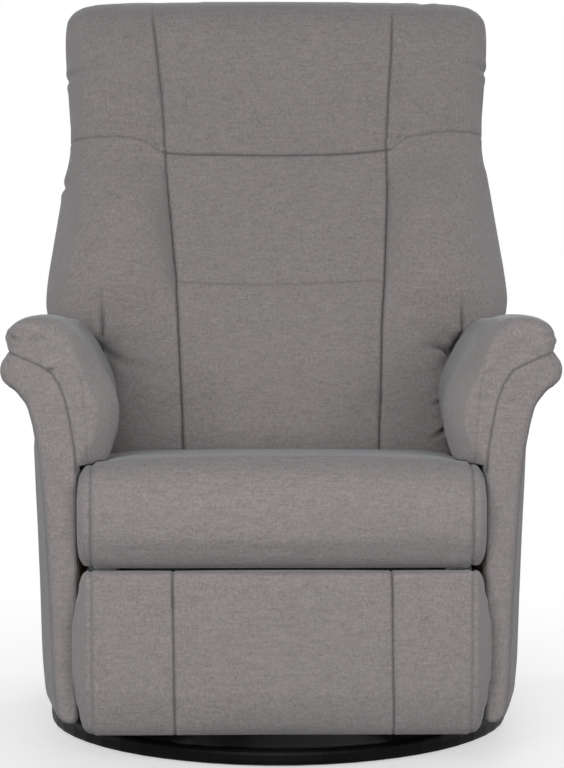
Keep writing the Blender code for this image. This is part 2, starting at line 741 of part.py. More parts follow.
def make_seat_cushion(looks):
    seam = SEAT_HALF - SEAT_SEAM_INSET
    draw = SEAT_SIDE_DRAW
    stations = [(SEAT_HALF, draw), (SEAT_HALF - 0.0025, draw * 0.68), (SEAT_HALF - 0.007, draw * 0.43),
                (SEAT_HALF - 0.0125, draw * 0.26), (seam + 0.003, draw * 0.19),
                (seam, draw * 0.13 + SEAT_SEAM_DEPTH), (seam - 0.0035, draw * 0.10),
                (seam - 0.020, 0.0), (SEAT_HALF * 0.55, 0.0), (SEAT_HALF * 0.20, 0.0)]
    rings = []
    for x, draw in [(-x, d) for x, d in stations] + stations[::-1]:
        profile = seat_profile(x)
        pulled = shrunk(profile, [draw] * len(profile))
        rings.append([(x, y, z) for y, z in pulled])
    return loft("seat_cushion", rings, looks["fabric"])


# Arms

# Distance of the panel's outer face from its inner one, by its share of the height to the scroll:
# at the front edge, and where its side has swollen to its full width
OUTER_EDGE = smooth_curve([(0.0, 0.0270), (0.060, 0.0334), (0.115, 0.0353), (0.377, 0.0394), (0.668, 0.0470),
                           (0.751, 0.0495), (0.834, 0.0535), (0.912, 0.0600), (0.955, 0.0652), (1.0, 0.0710)])
SIDE_FACE = smooth_curve([(0.0, 0.0675), (0.138, 0.0730), (0.46, 0.0765), (0.73, 0.0805), (0.896, 0.0835),
                          (1.0, 0.0850)])
EDGE_SHARES = (0.037, 0.145, 0.353, 0.560, 0.726, 0.840, 0.934, 1.0)


def panel_offset(share, y):
    """Distance of the panel's outer face from its inner one."""
    rise = math.sin(math.pi / 2 * min(1.0, (y - ARM_FRONT) / BULGE_LENGTH))
    fade = 1 - 0.80 * ease((share - 0.81) / 0.19)
    swell = (SIDE_FACE(share) - OUTER_EDGE(share)) * rise * fade
    return OUTER_EDGE(share) + swell - BULGE_FALL * ease((y - BULGE_REAR) / (ARM_REAR - BULGE_REAR))


def arm_drop(y):
    """How much lower the arm's top lies here than at the front."""
    return PAD_TOP_FALL * 0.25 * ease((y - ARM_FRONT) / (PAD_REAR - ARM_FRONT))


def arm_seam(y):
    """The seam between pad and panel, from the scroll down to the seat, as (offset, z)."""
    top = SCROLL_HEIGHT + SCROLL_RADIUS * 0.667
    knots = ((0.874, 1.0), (0.659, 0.951), (0.442, 0.893), (0.286, 0.779), (0.176, 0.622), (0.097, 0.427),
             (0.024, 0.189), (0.0024, 0.0))
    return [(SCROLL_OUT * out, DECK + mix(SEAM_FOOT, top, up) - arm_drop(y)) for out, up in knots]


ARM_STATIONS = [ARM_FRONT + 0.010] + [mix(ARM_FRONT, PAD_REAR, share) for share in (0.11, 0.32, 0.56, 0.79)]
ARM_STATIONS += [mix(ARM_FRONT, PAD_REAR, 0.91), PAD_REAR + 0.001 - ARM_STEP]


def arm_section(y, behind):
    """Outline of the side panel at one station, as (offset from the inner face, z), anticlockwise.

    Behind is 0 where the pad lies on the panel and 1 where the panel has a plain top.
    """
    scroll = (SCROLL_OUT, DECK + SCROLL_HEIGHT - arm_drop(y))
    scroll_foot = DECK + SCROLL_FOOT
    rear_top = DECK + PANEL_REAR_TOP - PANEL_REAR_FALL * ease((y - PAD_REAR) / (ARM_REAR - PAD_REAR))
    rear_width = panel_offset(0.64, y) - PANEL_REAR_DRAW
    crest_radius = rear_width / 2
    crest = (crest_radius, rear_top - crest_radius)

    outer, curl, seam = [], [], []
    for share in EDGE_SHARES:
        if behind:
            outer.append((mix(panel_offset(share * 0.8, y), rear_width, ease(share / 0.8)),
                          mix(ARM_BOTTOM, rear_top - crest_radius, share)))
        else:
            outer.append((panel_offset(share, y), mix(ARM_BOTTOM, scroll_foot, share)))
    if behind:
        curl = arc(crest, crest_radius, 0, 112, CURL_STEPS)[1:]
    else:
        curl = arc(scroll, SCROLL_RADIUS, -100, 75, CURL_STEPS)[1:]
    knots = arm_seam(y)
    if behind:
        seam = arc(crest, crest_radius, 112, 180, 3)[1:]
        steps = len(knots) - 3
        seam += [(0.0, mix(crest[1], knots[-1][1], (i + 1) / steps)) for i in range(steps)]
    else:
        seam = knots
    toe = panel_offset(0.0, y)
    foot = [(0.0, ARM_BOTTOM + 0.004), (0.004, ARM_BOTTOM), (toe - 0.012, ARM_BOTTOM),
            (toe - 0.003, ARM_BOTTOM + 0.005)]
    return outer + curl + seam + foot


def make_arm_panel(side, looks):
    front, step, round_off = ARM_FRONT, PAD_REAR + 0.001, ARM_STEP * 0.6
    stations = [(front, 0.008, 0), (front + 0.003, 0.003, 0)] + [(y, 0.0, 0) for y in ARM_STATIONS] + [
        (step - ARM_STEP * 0.2, 0.001, 0), (step, round_off, 0), (step + 0.001, round_off, 1),
        (step + ARM_STEP * 0.3, 0.001, 1), (step + ARM_STEP, 0.0, 1), (mix(step, ARM_REAR, 0.5), 0.0, 1),
        (ARM_REAR - 0.010, 0.0, 1), (ARM_REAR - 0.003, 0.003, 1), (ARM_REAR, 0.008, 1)]
    rings = []
    edge = len(EDGE_SHARES)
    for y, draw, behind in stations:
        outline = arm_section(y, behind)
        inner_step = y > step - ARM_STEP - 0.001 and y < step + ARM_STEP + 0.001
        draws = []
        for i in range(len(outline)):
            if i < edge:
                draws.append(draw * (ease(i / edge) if inner_step else 1.0))
            elif i < edge + CURL_STEPS:
                draws.append(draw)
            elif i < len(outline) - 4:
                draws.append(draw * SEAM_DRAW)
            else:
                draws.append(0.0 if inner_step else draw * 0.5)
        outline = shrunk(outline, draws)
        rings.append([(side * (ARM_INNER + max(offset, 0.0)), y, z) for offset, z in outline])
    panel = loft(side_name("arm_panel", side), rings, looks["fabric"])
    depth = BOARD_THICKNESS + TOUCH
    limits = mirrored(side, ARM_INNER - 0.020, ARM_INNER + depth)
    recess = box(side_name("cut_board_recess", side),
                 (limits[0], BOARD_FRONT - TOUCH, BOARD_BOTTOM - TOUCH),
                 (limits[1], BOARD_REAR + TOUCH, DECK + BOARD_TOP + TOUCH))
    return cut(panel, recess)


def make_arm_board(side, looks):
    top = DECK + BOARD_TOP
    outline = [(BOARD_FRONT, BOARD_BOTTOM), (BOARD_REAR, BOARD_BOTTOM), (BOARD_REAR, top), (BOARD_FRONT, top)]
    limits = mirrored(side, ARM_INNER, ARM_INNER + BOARD_THICKNESS)
    return prism(side_name("arm_board", side), [outline], *limits, from_profile, looks["wood"])


PAD_SEAM_POINTS = len(arm_seam(0.0))


def pad_section(y):
    """Outline of the arm pad at one station, as (offset from the arm's inner face, z)."""
    top = DECK + PAD_TOP - PAD_TOP_FALL * ease((y - ARM_FRONT) / (PAD_REAR - ARM_FRONT)) ** 1.3
    seam = arm_seam(y)
    lift = TOUCH * 1.6
    under = [(offset - lift * 0.75, z + lift) for offset, z in seam]
    thick = PAD_THICKNESS
    shoulder = seam[0][1] + SCROLL_RADIUS * 0.252
    lip = [(SCROLL_OUT * out, mix(shoulder, top, share)) for out, share in (
        (1.018, 0.020), (1.190, 0.095), (1.221, 0.260), (1.212, 0.480), (1.156, 0.655), (1.000, 0.842),
        (0.796, 0.960), (0.570, 1.0), (0.305, 0.975))]
    foot = DECK + SEAM_FOOT
    height = top - foot
    under_pad = DECK + PAD_UNDER
    inner = [(0.0005, top - height * 0.055)]
    inner += [(-thick * out, mix(under_pad, top, up)) for out, up in (
        (0.277, 0.865), (0.641, 0.763), (0.875, 0.646), (0.979, 0.530), (1.0, 0.355), (0.979, 0.224),
        (0.920, 0.095), (0.820, 0.015), (0.600, 0.0), (0.150, 0.0))]
    inner += [(-thick * 0.015, mix(foot, under_pad, 0.4))]
    return under[::-1] + lip + inner


def make_arm_pad(side, looks):
    stations = [(ARM_FRONT, 0.0125), (ARM_FRONT + 0.003, 0.006), (ARM_STATIONS[0], 0.001)]
    stations += [(y, 0.0) for y in ARM_STATIONS[1:]] + [(PAD_REAR - 0.003, 0.003), (PAD_REAR, 0.007)]
    rings = []
    for y, draw in stations:
        outline = pad_section(y)
        shares = [SEAM_DRAW] * PAD_SEAM_POINTS + [1.0] * (len(outline) - PAD_SEAM_POINTS)
        shares[:2] = (0.03, 0.12)
        shares[PAD_SEAM_POINTS - 1:PAD_SEAM_POINTS + 2] = (0.25, 0.30, 0.75)
        shares[-4:] = (0.8, 0.4, 0.15, 0.03)
        outline = shrunk(outline, [draw * share for share in shares])
        rings.append([(side * (ARM_INNER + offset), y, z) for offset, z in outline])
    return loft(side_name("arm_pad", side), rings, looks["fabric"])


def make_arms(looks):
    pieces = []
    for side in SIDES:
        panel = make_arm_panel(side, looks)
        if side < 0:
            cut(panel, box("cut_bezel_recess", (-0.5, *bezel_low()), (-bezel_floor(), *bezel_high())))
        pieces += [panel, make_arm_board(side, looks), make_arm_pad(side, looks)]
    return pieces


# Controls and electrics

def bezel_face():
    """Distance of the bezel's outer face from the chair's middle."""
    share = (DECK + BEZEL_UP - ARM_BOTTOM) / (DECK + SCROLL_FOOT - ARM_BOTTOM)
    return ARM_INNER + panel_offset(share, BEZEL_CENTRE_Y) - BEZEL_SINK + BEZEL_PROUD


def bezel_floor():
    return bezel_face() - BEZEL_DEPTH - TOUCH


def bezel_low(margin=TOUCH):
    return BEZEL_CENTRE_Y - BEZEL_LENGTH / 2 - margin, DECK + BEZEL_UP - BEZEL_HEIGHT / 2 - margin


def bezel_high(margin=TOUCH):
    return BEZEL_CENTRE_Y + BEZEL_LENGTH / 2 + margin, DECK + BEZEL_UP + BEZEL_HEIGHT / 2 + margin


BUTTON_NAMES = ("button_back_up", "button_back_down", "button_legs_up", "button_legs_down")


def button_centre(index):
    return BEZEL_CENTRE_Y + (index - 1.5) * BUTTON_PITCH, DECK + BEZEL_UP


def button_outline(index, margin=0.0):
    y, z = button_centre(index)
    half = (BUTTON_LENGTH / 2 + margin, BUTTON_HEIGHT / 2 + margin)
    return rounded_rectangle((y - half[0], z - half[1]), (y + half[0], z + half[1]), 0.004 + margin, 3)


def make_bezel(looks):
    outline = rounded_rectangle(bezel_low(0), bezel_high(0), 0.006, 3)
    holes = [button_outline(i, TOUCH) for i in range(len(BUTTON_NAMES))]
    face = bezel_face()
    return prism("control_bezel", [outline] + holes, -face, -face + BEZEL_DEPTH, from_profile,
                 looks["plastic"])


def make_button(index, looks):
    outer = -bezel_face() - BUTTON_PROUD
    button = prism(BUTTON_NAMES[index], [button_outline(index)], outer, outer + BUTTON_DEPTH, from_profile,
                   looks["button"])
    dish_centre = button_centre(index)
    dish = turned("cut_dish_%d" % index, [(0.009, outer - 0.001), (0.0062, outer + 0.0006)],
                  centre=(0, *dish_centre), axis="X", segments=16)
    return cut(button, dish)


REAR_PANEL_IN = ARM_REAR - REAR_PANEL_THICKNESS


def make_rear_panel(looks):
    half = ARM_INNER - TOUCH
    low, high = REAR_PANEL_BOTTOM, REAR_PANEL_TOP
    outline = [(-half, low), (half, low), (half, high), (-half, high)]
    return prism("rear_panel", [outline, inlet_outline(TOUCH, 0.003)], REAR_PANEL_IN, ARM_REAR, from_front,
                 looks["fabric"])


def inlet_outline(margin, corner):
    """A rounded rectangle about the inlet's centre, so much larger than its body."""
    half = (INLET_HALF_WIDTH + margin, INLET_HALF_HEIGHT + margin)
    return rounded_rectangle((-half[0], INLET_HEIGHT - half[1]), (half[0], INLET_HEIGHT + half[1]), corner, 2)


def make_inlet(looks):
    """A low-voltage inlet with one oblong socket and a flange on the rear panel's outer face."""
    face = ARM_REAR + TOUCH
    body = prism("power_inlet", [inlet_outline(0, 0.003)], ARM_REAR - INLET_DEPTH,
                 face + INLET_FLANGE_THICKNESS / 2, from_front, looks["plastic"])
    join(body, prism("join_inlet_flange", [inlet_outline(INLET_FLANGE, 0.006)],
                     face, face + INLET_FLANGE_THICKNESS, from_front))
    outer = face + INLET_FLANGE_THICKNESS
    return cut(body, prism("cut_socket", [inlet_outline(-INLET_WALL, 0.002)], outer - SOCKET_DEPTH,
                           outer + 0.01, from_front))


def make_control_box(looks):
    half_x, half_y = CONTROL_BOX[0] / 2, CONTROL_BOX[1] / 2
    return box("control_box", (-half_x, -half_y, RAIL_BOTTOM), (half_x, half_y, RAIL_BOTTOM + CONTROL_BOX[2]),
               looks["plastic"], 0.004)


# Legrest linkage

def pin(name, side, centre, tip, root, radius=PIN_RADIUS, head=PIN_HEAD_RADIUS):
    """A headed pin along X that grows out of a plate, from its root to its head's outer face."""
    neck = tip + math.copysign(PIN_HEAD, root - tip)
    profile = [(radius, root), (radius, neck), (head, neck), (head, tip)]
    profile = [(r, side * x) for r, x in profile]
    return turned(name, profile, centre=(0, -centre[0], centre[1]), axis="X", segments=12)


def rivet_inwards(target, stem, side, centre):
    """A rivet from an outer-layer link through the inner layer."""
    head_face = INNER_LINK_IN - LINK_AIR - PIN_HEAD
    root = OUTER_LINK_IN + PLATE / 2
    join(target, pin(side_name("join_" + stem, side), side, centre, head_face, root))


def make_link(stem, side, first, last, holes, outer_layer, looks):
    layer = (OUTER_LINK_IN, OUTER_LINK_OUT) if outer_layer else (INNER_LINK_IN, INNER_LINK_OUT)
    loops = [stadium(first, last, LINK_HALF_WIDTH)]
    loops += [circle(centre, radius + PIN_PLAY) for centre, radius in holes]
    return prism(side_name(stem, side), loops, *mirrored(side, *layer), from_side, looks["steel"])


def make_link_a(side, looks):
    link = make_link("link_a", side, LEG_PIVOT, LINK_A_END, [], True, looks)
    limits = mirrored(side, OUTER_LINK_IN, OUTER_LINK_OUT)
    boss = prism(side_name("join_hub", side), [circle(LEG_PIVOT, TORQUE_TUBE_RADIUS + HUB_WALL, 20)],
                 *limits, from_side)
    join(link, boss)
    bore = prism(side_name("cut_hub", side), [circle(LEG_PIVOT, TORQUE_TUBE_RADIUS + PIN_PLAY, 20)],
                 *mirrored(side, OUTER_LINK_IN - 0.002, OUTER_LINK_OUT + 0.002), from_side)
    cut(link, bore)
    rivet_inwards(link, "rivet_cross", side, LINK_CROSS)
    rivet_inwards(link, "rivet_end", side, LINK_A_END)
    return link


def make_link_b(side, looks):
    link = make_link("link_b", side, LINK_B_FOOT, LINK_B_END,
                     [(LINK_CROSS, PIN_RADIUS), (LINK_B_END, PIN_RADIUS)], False, looks)
    outer_end = SIDE_PLATE_OUT + LINK_AIR + PIN_HEAD
    root = INNER_LINK_OUT - PLATE / 2
    roller = pin(side_name("join_roller", side), side, LINK_B_FOOT, outer_end, root)
    return join(link, roller)


def make_link_c(side, looks):
    return make_link("link_c", side, LINK_A_END, LINK_C_END,
                     [(LINK_A_END, PIN_RADIUS), (LINK_C_END, PIN_RADIUS)], False, looks)


def crank_slot(centre, heading, near, far, half):
    """Outline of a crank's slot, whose ends are half circles."""
    return stadium(along(centre, heading, near), along(centre, heading, far), half, 6)


def make_crank(name, centre, heading, near, far, half, x):
    """A crank plate with a slot near its tip."""
    outline = stadium(centre, along(centre, heading, far), half + CRANK_WALL, 8)
    loops = [outline, crank_slot(centre, heading, near, far, half)]
    return prism(name, loops, x - CRANK_PLATE / 2, x + CRANK_PLATE / 2, from_side)


LEG_CRANK_REST = -90.0 - LINK_A_SWING / 2
LEG_CRANK_FAR = LEG_CRANK / math.cos(math.radians(LINK_A_SWING / 2))
LEG_ROD_TRAVEL = 2 * LEG_CRANK * math.tan(math.radians(LINK_A_SWING / 2))
LEG_ROD_PIN = along(LEG_PIVOT, LEG_CRANK_REST, LEG_CRANK_FAR)
BACK_CRANK_FAR = BACK_CRANK / math.cos(math.radians(BACK_CRANK_REST))
BACK_ROD_TRAVEL = BACK_CRANK * (math.tan(math.radians(BACK_CRANK_REST))
                                + math.tan(math.radians(RECLINE_RANGE - BACK_CRANK_REST)))
BACK_PIVOT_SIDE = (-RECLINE_PIVOT[0], RECLINE_PIVOT[1])
BACK_ROD_PIN = along(BACK_PIVOT_SIDE, -90.0 - BACK_CRANK_REST, BACK_CRANK_FAR)


def make_torque_tube(looks):
    end = SIDE_PLATE_OUT + 0.0012
    tube = turned("torque_tube", [(TORQUE_TUBE_RADIUS, -end), (TORQUE_TUBE_RADIUS, end)], looks["steel"],
                  centre=(0, LEG_PIVOT_Y, LEG_PIVOT[1]), axis="X", segments=20)
    slack = LEG_SLOT_HALF - CRANK_PIN - SLOT_END_PLAY
    crank = make_crank("join_leg_crank", LEG_PIVOT, LEG_CRANK_REST, LEG_CRANK + slack * 0.5,
                       LEG_CRANK_FAR - slack * 0.5, LEG_SLOT_HALF, -MOTOR_X)
    return join(tube, crank)


# Footrest

FOOT_BACK = FRONT + FOOT_CUSHION
FOOT_TOP = DECK - SEAT_ROLL_DROP - FOOT_TOP_GAP + 0.002
FOOT_BOARD_BACK = FOOT_BACK + TOUCH + FOOT_BOARD


def make_foot_bracket(side, looks):
    """A plate between the two outer pivots, with a flange that is screwed to the footrest board."""
    face = -(FOOT_BOARD_BACK + TOUCH)
    top = LINK_B_END[1]
    bottom = LINK_C_END[1]
    radius = LINK_HALF_WIDTH
    outline = (arc(LINK_B_END, radius, 82, 190, 6)
               + arc(LINK_C_END, radius, 170, 278, 6)
               + [(face, bottom - radius * 1.6), (face, top + radius * 0.2)])
    limits = mirrored(side, OUTER_LINK_IN, OUTER_LINK_OUT)
    plate = prism(side_name("footrest_bracket", side), [outline], *limits, from_side, looks["steel"])
    flange = mirrored(side, OUTER_LINK_OUT - FLANGE_WIDTH, OUTER_LINK_OUT - PLATE / 4)
    foot, inner = bottom - radius * 1.2, face - BRACKET_STEEL
    strip = [(inner, foot), (face, foot), (face, top), (inner, top)]
    join(plate, prism(side_name("join_flange", side), [strip], *flange, from_side))
    rivet_inwards(plate, "rivet_upper", side, LINK_B_END)
    rivet_inwards(plate, "rivet_lower", side, LINK_C_END)
    return plate


def foot_ring(level, draw):
    """The footrest cushion's outline at one height, as world points."""
    height = FOOT_TOP - FOOT_BOTTOM
    share = (level - FOOT_BOTTOM) / height
    arch = math.sin(math.pi * min(1, share * 0.92 + 0.04)) ** 0.8
    bulge = mix(FOOT_GUSSET_END, FOOT_GUSSET_BULGE, arch)
    groove = 0.004 * ease((share - 0.02) / 0.08) * ease((0.97 - share) / 0.06)
    crown = 0.006 * (1 - (2 * share - 1) ** 2)
    face = FOOT_FACE_HALF
    front = []
    seam_half = 0.006
    seam = face - FOOT_SEAM_INSET
    xs = (0.0, seam * 0.5, seam - seam_half, seam, seam + seam_half, (seam + face) / 2, face - 0.010, face)
    for x in [-x for x in xs[:0:-1]] + list(xs):
        y = FRONT + 0.006 - crown
        if abs(x) == seam:
            y += groove
        if abs(x) == face:
            y += 0.0025
        front.append((x, y))
    right = [(face + bulge * 0.55, FRONT + 0.013), (face + bulge, FRONT + 0.030),
             (face + bulge * 0.80, FRONT + 0.047), (face + bulge * 0.30 - 0.004, FOOT_BACK - 0.002)]
    rear = [(face - 0.012, FOOT_BACK), (-face + 0.012, FOOT_BACK)]
    left = [(-x, y) for x, y in reversed(right)]
    outline = front + right + rear + left
    middle_y = (FRONT + FOOT_BACK) / 2
    ring = []
    for x, y in outline:
        x -= math.copysign(min(abs(x), draw), x) if abs(x) > face * 0.9 else 0.0
        y += draw if y < middle_y else 0.0
        tilt = FOOT_TOP_FALL * ease((share - 0.6) / 0.4) * (y - FRONT) / FOOT_CUSHION
        ring.append((x, min(y, FOOT_BACK), level - tilt))
    return ring


def make_foot_cushion(looks):
    rings = []
    for depth, draw in ((0.0, 0.012), (0.002, 0.006), (0.006, 0.0022), (0.013, 0.0)):
        rings.append(foot_ring(FOOT_BOTTOM + depth, draw))
    for share in (0.22, 0.38, 0.52, 0.66, 0.80):
        rings.append(foot_ring(mix(FOOT_BOTTOM, FOOT_TOP, share), 0.0))
    for depth, draw in ((0.012, 0.0), (0.005, 0.0018), (0.0015, 0.0055), (0.0, 0.011)):
        rings.append(foot_ring(FOOT_TOP - depth, draw))
    return loft("footrest_cushion", rings, looks["fabric"])


def make_footrest(looks):
    top = FOOT_TOP - FOOT_BOARD_MARGIN - FOOT_TOP_FALL * 0.3
    board = prism("footrest_board", [rounded_rectangle(
        (-FOOT_BOARD_HALF, FOOT_BOTTOM + FOOT_BOARD_MARGIN), (FOOT_BOARD_HALF, top), 0.012)],
        FOOT_BACK + TOUCH, FOOT_BACK + TOUCH + FOOT_BOARD, from_front, looks["wood"])
    return [make_foot_bracket(side, looks) for side in SIDES] + [board, make_foot_cushion(looks)]


# Motors

def make_rod(name, x, pin_at, length, facing, looks):
    """A push rod with a fork round a crank's slot. Facing is +1 where the fork looks forward."""
    fork_back = facing * CLEVIS_LENGTH
    base_end = fork_back + facing * CLEVIS_BASE
    y, z = -pin_at[0], pin_at[1]
    cheek_in = CRANK_PLATE / 2 + LINK_AIR
    cheek_out = cheek_in + CLEVIS_CHEEK
    low = min(fork_back, base_end)
    high = max(fork_back, base_end)
    rod = box(name, (x - cheek_out, y + low, z - CLEVIS_HALF), (x + cheek_out, y + high, z + CLEVIS_HALF),
              looks["bright"])
    for number, side in enumerate(SIDES):
        cheek = stadium((-y, z), (-y - fork_back * 1.06, z), CLEVIS_HALF - 0.0004, 6)
        limits = [x + end for end in mirrored(side, cheek_in, cheek_out - 0.0004)]
        join(rod, prism("join_%s_cheek_%d" % (name, number), [cheek], *limits, from_side))
    join(rod, turned("join_%s_pin" % name, [(CRANK_PIN, -cheek_in - 0.002), (CRANK_PIN, cheek_in + 0.002)],
                     centre=(x, y, z), axis="X", segments=16))
    stem = (y + base_end - facing * 0.004, y + base_end + facing * length)
    join(rod, turned("join_%s_stem" % name, [(ROD_RADIUS, min(stem)), (ROD_RADIUS, max(stem))],
                     centre=(x, 0, z), axis="Y", segments=16))
    return rod


def make_motor(name, x, z, mouth, facing, tube_length, rod_length, tube_under, looks):
    """A linear motor: guide tube, gearbox, motor can and a foot on its cross tube.

    The mouth is where the rod leaves the guide tube, and facing is +1 where the body lies behind it.
    """
    gear_start = mouth + facing * tube_length
    gear_end = gear_start + facing * GEARBOX[1]
    half_x, half_z = GEARBOX[0] / 2, GEARBOX[2] / 2
    gear_x = x + math.copysign(MOTOR_CAN_OFFSET / 2, x)
    body = box(name, (gear_x - half_x, min(gear_start, gear_end), z - half_z),
               (gear_x + half_x, max(gear_start, gear_end), z + half_z), looks["plastic"], 0.006)
    tube = (mouth, gear_start + facing * 0.010)
    join(body, turned("join_%s_tube" % name, [(MOTOR_TUBE_RADIUS, min(tube)), (MOTOR_TUBE_RADIUS, max(tube))],
                      centre=(x, 0, z), axis="Y", segments=20))
    can_x = x + math.copysign(MOTOR_CAN_OFFSET, x)
    can = (gear_start + facing * 0.010, gear_start - facing * (MOTOR_CAN_LENGTH - 0.010))
    join(body, turned("join_%s_can" % name, [
        (MOTOR_CAN_RADIUS - 0.003, min(can)), (MOTOR_CAN_RADIUS, min(can) + 0.003),
        (MOTOR_CAN_RADIUS, max(can) - 0.003), (MOTOR_CAN_RADIUS - 0.003, max(can))],
        centre=(can_x, 0, z), axis="Y", segments=20))
    bore_end = mouth + facing * (rod_length + 0.010)
    cut(body, turned("cut_%s_bore" % name, [(ROD_RADIUS + PIN_PLAY, min(mouth - facing * 0.01, bore_end)),
                                            (ROD_RADIUS + PIN_PLAY, max(mouth - facing * 0.01, bore_end))],
                     centre=(x, 0, z), axis="Y", segments=16))
    lug = MOTOR_LUG
    join(body, box("join_%s_foot" % name, (x - lug, tube_under - lug, CROSS_TUBE_TOP + TOUCH),
                   (x + lug, tube_under + lug, z + 0.006)))
    reach = (tube_under, gear_end - facing * 0.010)
    join(body, box("join_%s_arm" % name, (x - lug + 0.001, min(reach), z - 0.007),
                   (x + lug - 0.001, max(reach), z + 0.007)))
    return body


def make_leg_motor(looks):
    """Behind the crank, its foot on the rear cross tube."""
    mouth = -LEG_ROD_PIN[0] + CLEVIS_LENGTH + CLEVIS_BASE + 0.006
    return make_motor("legrest_motor", -MOTOR_X, LEG_ROD_PIN[1], mouth, 1, MOTOR_TUBE_LENGTH, LEG_ROD_LENGTH,
                      REAR_CROSS_Y, looks)


def make_back_motor(looks):
    """In front of the crank, its foot on the front cross tube."""
    mouth = -BACK_ROD_PIN[0] - BACK_ROD_TRAVEL - CLEVIS_LENGTH - CLEVIS_BASE - 0.006
    return make_motor("recline_motor", MOTOR_X, BACK_ROD_PIN[1], mouth, -1, BACK_TUBE_LENGTH, BACK_ROD_LENGTH,
                      FRONT_CROSS_Y, looks)


# Back

WING_T = (DECK + PANEL_REAR_TOP - BACK_ORIGIN[1]) / LEAN_COS + WING_AIR
WING_FULL = WING_T + WING_CORNER
LOWER_HALF = ARM_INNER - BACK_SIDE_AIR


def wing_t(share):
    """t between the wings' lower edge and their widest line."""
    return mix(WING_T, WING_FULL, share)


def body_t(share):
    """t between the wings' widest line and the neck."""
    return mix(WING_FULL, NECK, share)


def head_t(share):
    """t between the neck and the top."""
    return mix(NECK, BACK_TOP, share)


# The back's outline and surfaces by t. Widths are beyond half the seat's width
BACK_HALF = smooth_curve([
    (0.0, LOWER_HALF - SEAT_HALF - 0.003), (WING_T, LOWER_HALF - SEAT_HALF), (wing_t(0.16), 0.040),
    (wing_t(0.38), 0.073), (wing_t(0.66), 0.088), (WING_FULL, 0.092),
    (body_t(0.25), 0.0845), (body_t(0.46), 0.0760), (body_t(0.68), 0.0675), (body_t(0.89), 0.0600),
    (NECK, 0.0560), (head_t(0.11), 0.0535), (head_t(0.21), 0.0525), (head_t(0.32), 0.0545),
    (head_t(0.53), 0.0585), (head_t(0.64), 0.0620), (head_t(0.76), 0.0632), (head_t(0.84), 0.0615),
    (head_t(0.92), 0.0490), (head_t(0.96), 0.0330), (head_t(0.985), 0.0060), (BACK_TOP, -0.0450)])
BACK_SEAM = smooth_curve([(0.0, -0.130), (WING_FULL, -0.123), (body_t(0.75), -0.110), (NECK, -0.104),
                          (head_t(0.5), -0.095), (BACK_TOP, -0.090)])
BACK_FRONT = smooth_curve([
    (0.0, 0.000), (0.05, 0.012), (0.15, 0.042), (WING_FULL, 0.035), (body_t(0.35), 0.022),
    (body_t(0.75), 0.012), (NECK, 0.006), (head_t(0.32), 0.022), (head_t(0.62), 0.028), (head_t(0.82), 0.016),
    (head_t(0.94), -0.020), (BACK_TOP, -0.052)])
WING_SWELL = smooth_curve([
    (0.0, 0.0), (0.13, 0.002), (wing_t(0.4), 0.005), (body_t(0.15), 0.034), (body_t(0.55), 0.040),
    (body_t(0.82), 0.022), (NECK, 0.008), (head_t(0.25), 0.014), (head_t(0.55), 0.014), (head_t(0.77), 0.006),
    (BACK_TOP, 0.0)])
SHELL_REAR = smooth_curve([
    (SHELL_FOOT, SHELL_DEPTH * 0.60), (0.0, SHELL_DEPTH * 0.76), (0.20, SHELL_DEPTH),
    (head_t(0.70), SHELL_DEPTH), (head_t(0.86), SHELL_DEPTH * 0.82), (head_t(0.95), SHELL_DEPTH * 0.50),
    (BACK_TOP, SHELL_DEPTH * 0.20)])


def half_width(t):
    """Half the back's width."""
    return SEAT_HALF + BACK_HALF(t)


def seam_x(t):
    """Distance of the vertical seams from the chair's middle."""
    return SEAT_HALF + BACK_SEAM(t)


def front_surface(x, t):
    """n of the front cushion's face before its edges are rounded."""
    half = half_width(t)
    seam = seam_x(t)
    n = BACK_FRONT(t)
    if abs(x) < seam:
        n += 0.006 * math.cos(math.pi / 2 * x / seam)
        if abs(t - LUMBAR_SEAM) < 0.001:
            n -= BACK_SEAM_DEPTH * 0.7
    else:
        share = (abs(x) - seam) / (half - seam)
        n += WING_SWELL(t) * math.sin(math.pi * min(share, 1.0) ** 0.75)
    return n


def edge_round(share):
    return max(0.0, 1 - share ** 5) ** 0.2


def back_ring(t):
    """The front cushion's outline at one height of the back, as (x, n)."""
    half = half_width(t)
    seam = seam_x(t)
    right = [(seam - BACK_SEAM_HALF, 0.0), (seam, BACK_SEAM_DEPTH), (seam + BACK_SEAM_HALF, 0.0)]
    right += [(mix(seam, half, s), 0.0) for s in (0.25, 0.45, 0.65, 0.82, 0.93, 0.98)]
    right = [(0.0, 0.0), (seam * 0.35, 0.0), (seam * 0.70, 0.0)] + right
    front = []
    for x, groove in right:
        n = SIDE_N + (front_surface(x, t) - groove - SIDE_N) * edge_round(x / half)
        front.append((x, n))
    front.append((half, SIDE_N))
    rear = [(half - 0.0015, SIDE_N - 0.022), (half - 0.006, BACK_PARTING + TOUCH / 2)]
    side = front[1:] + rear
    return side, front[0]


def full_ring(t):
    side, middle = back_ring(t)
    rear_middle = (0.0, BACK_PARTING + TOUCH / 2)
    return [middle] + side + [rear_middle] + [(-x, n) for x, n in reversed(side)]


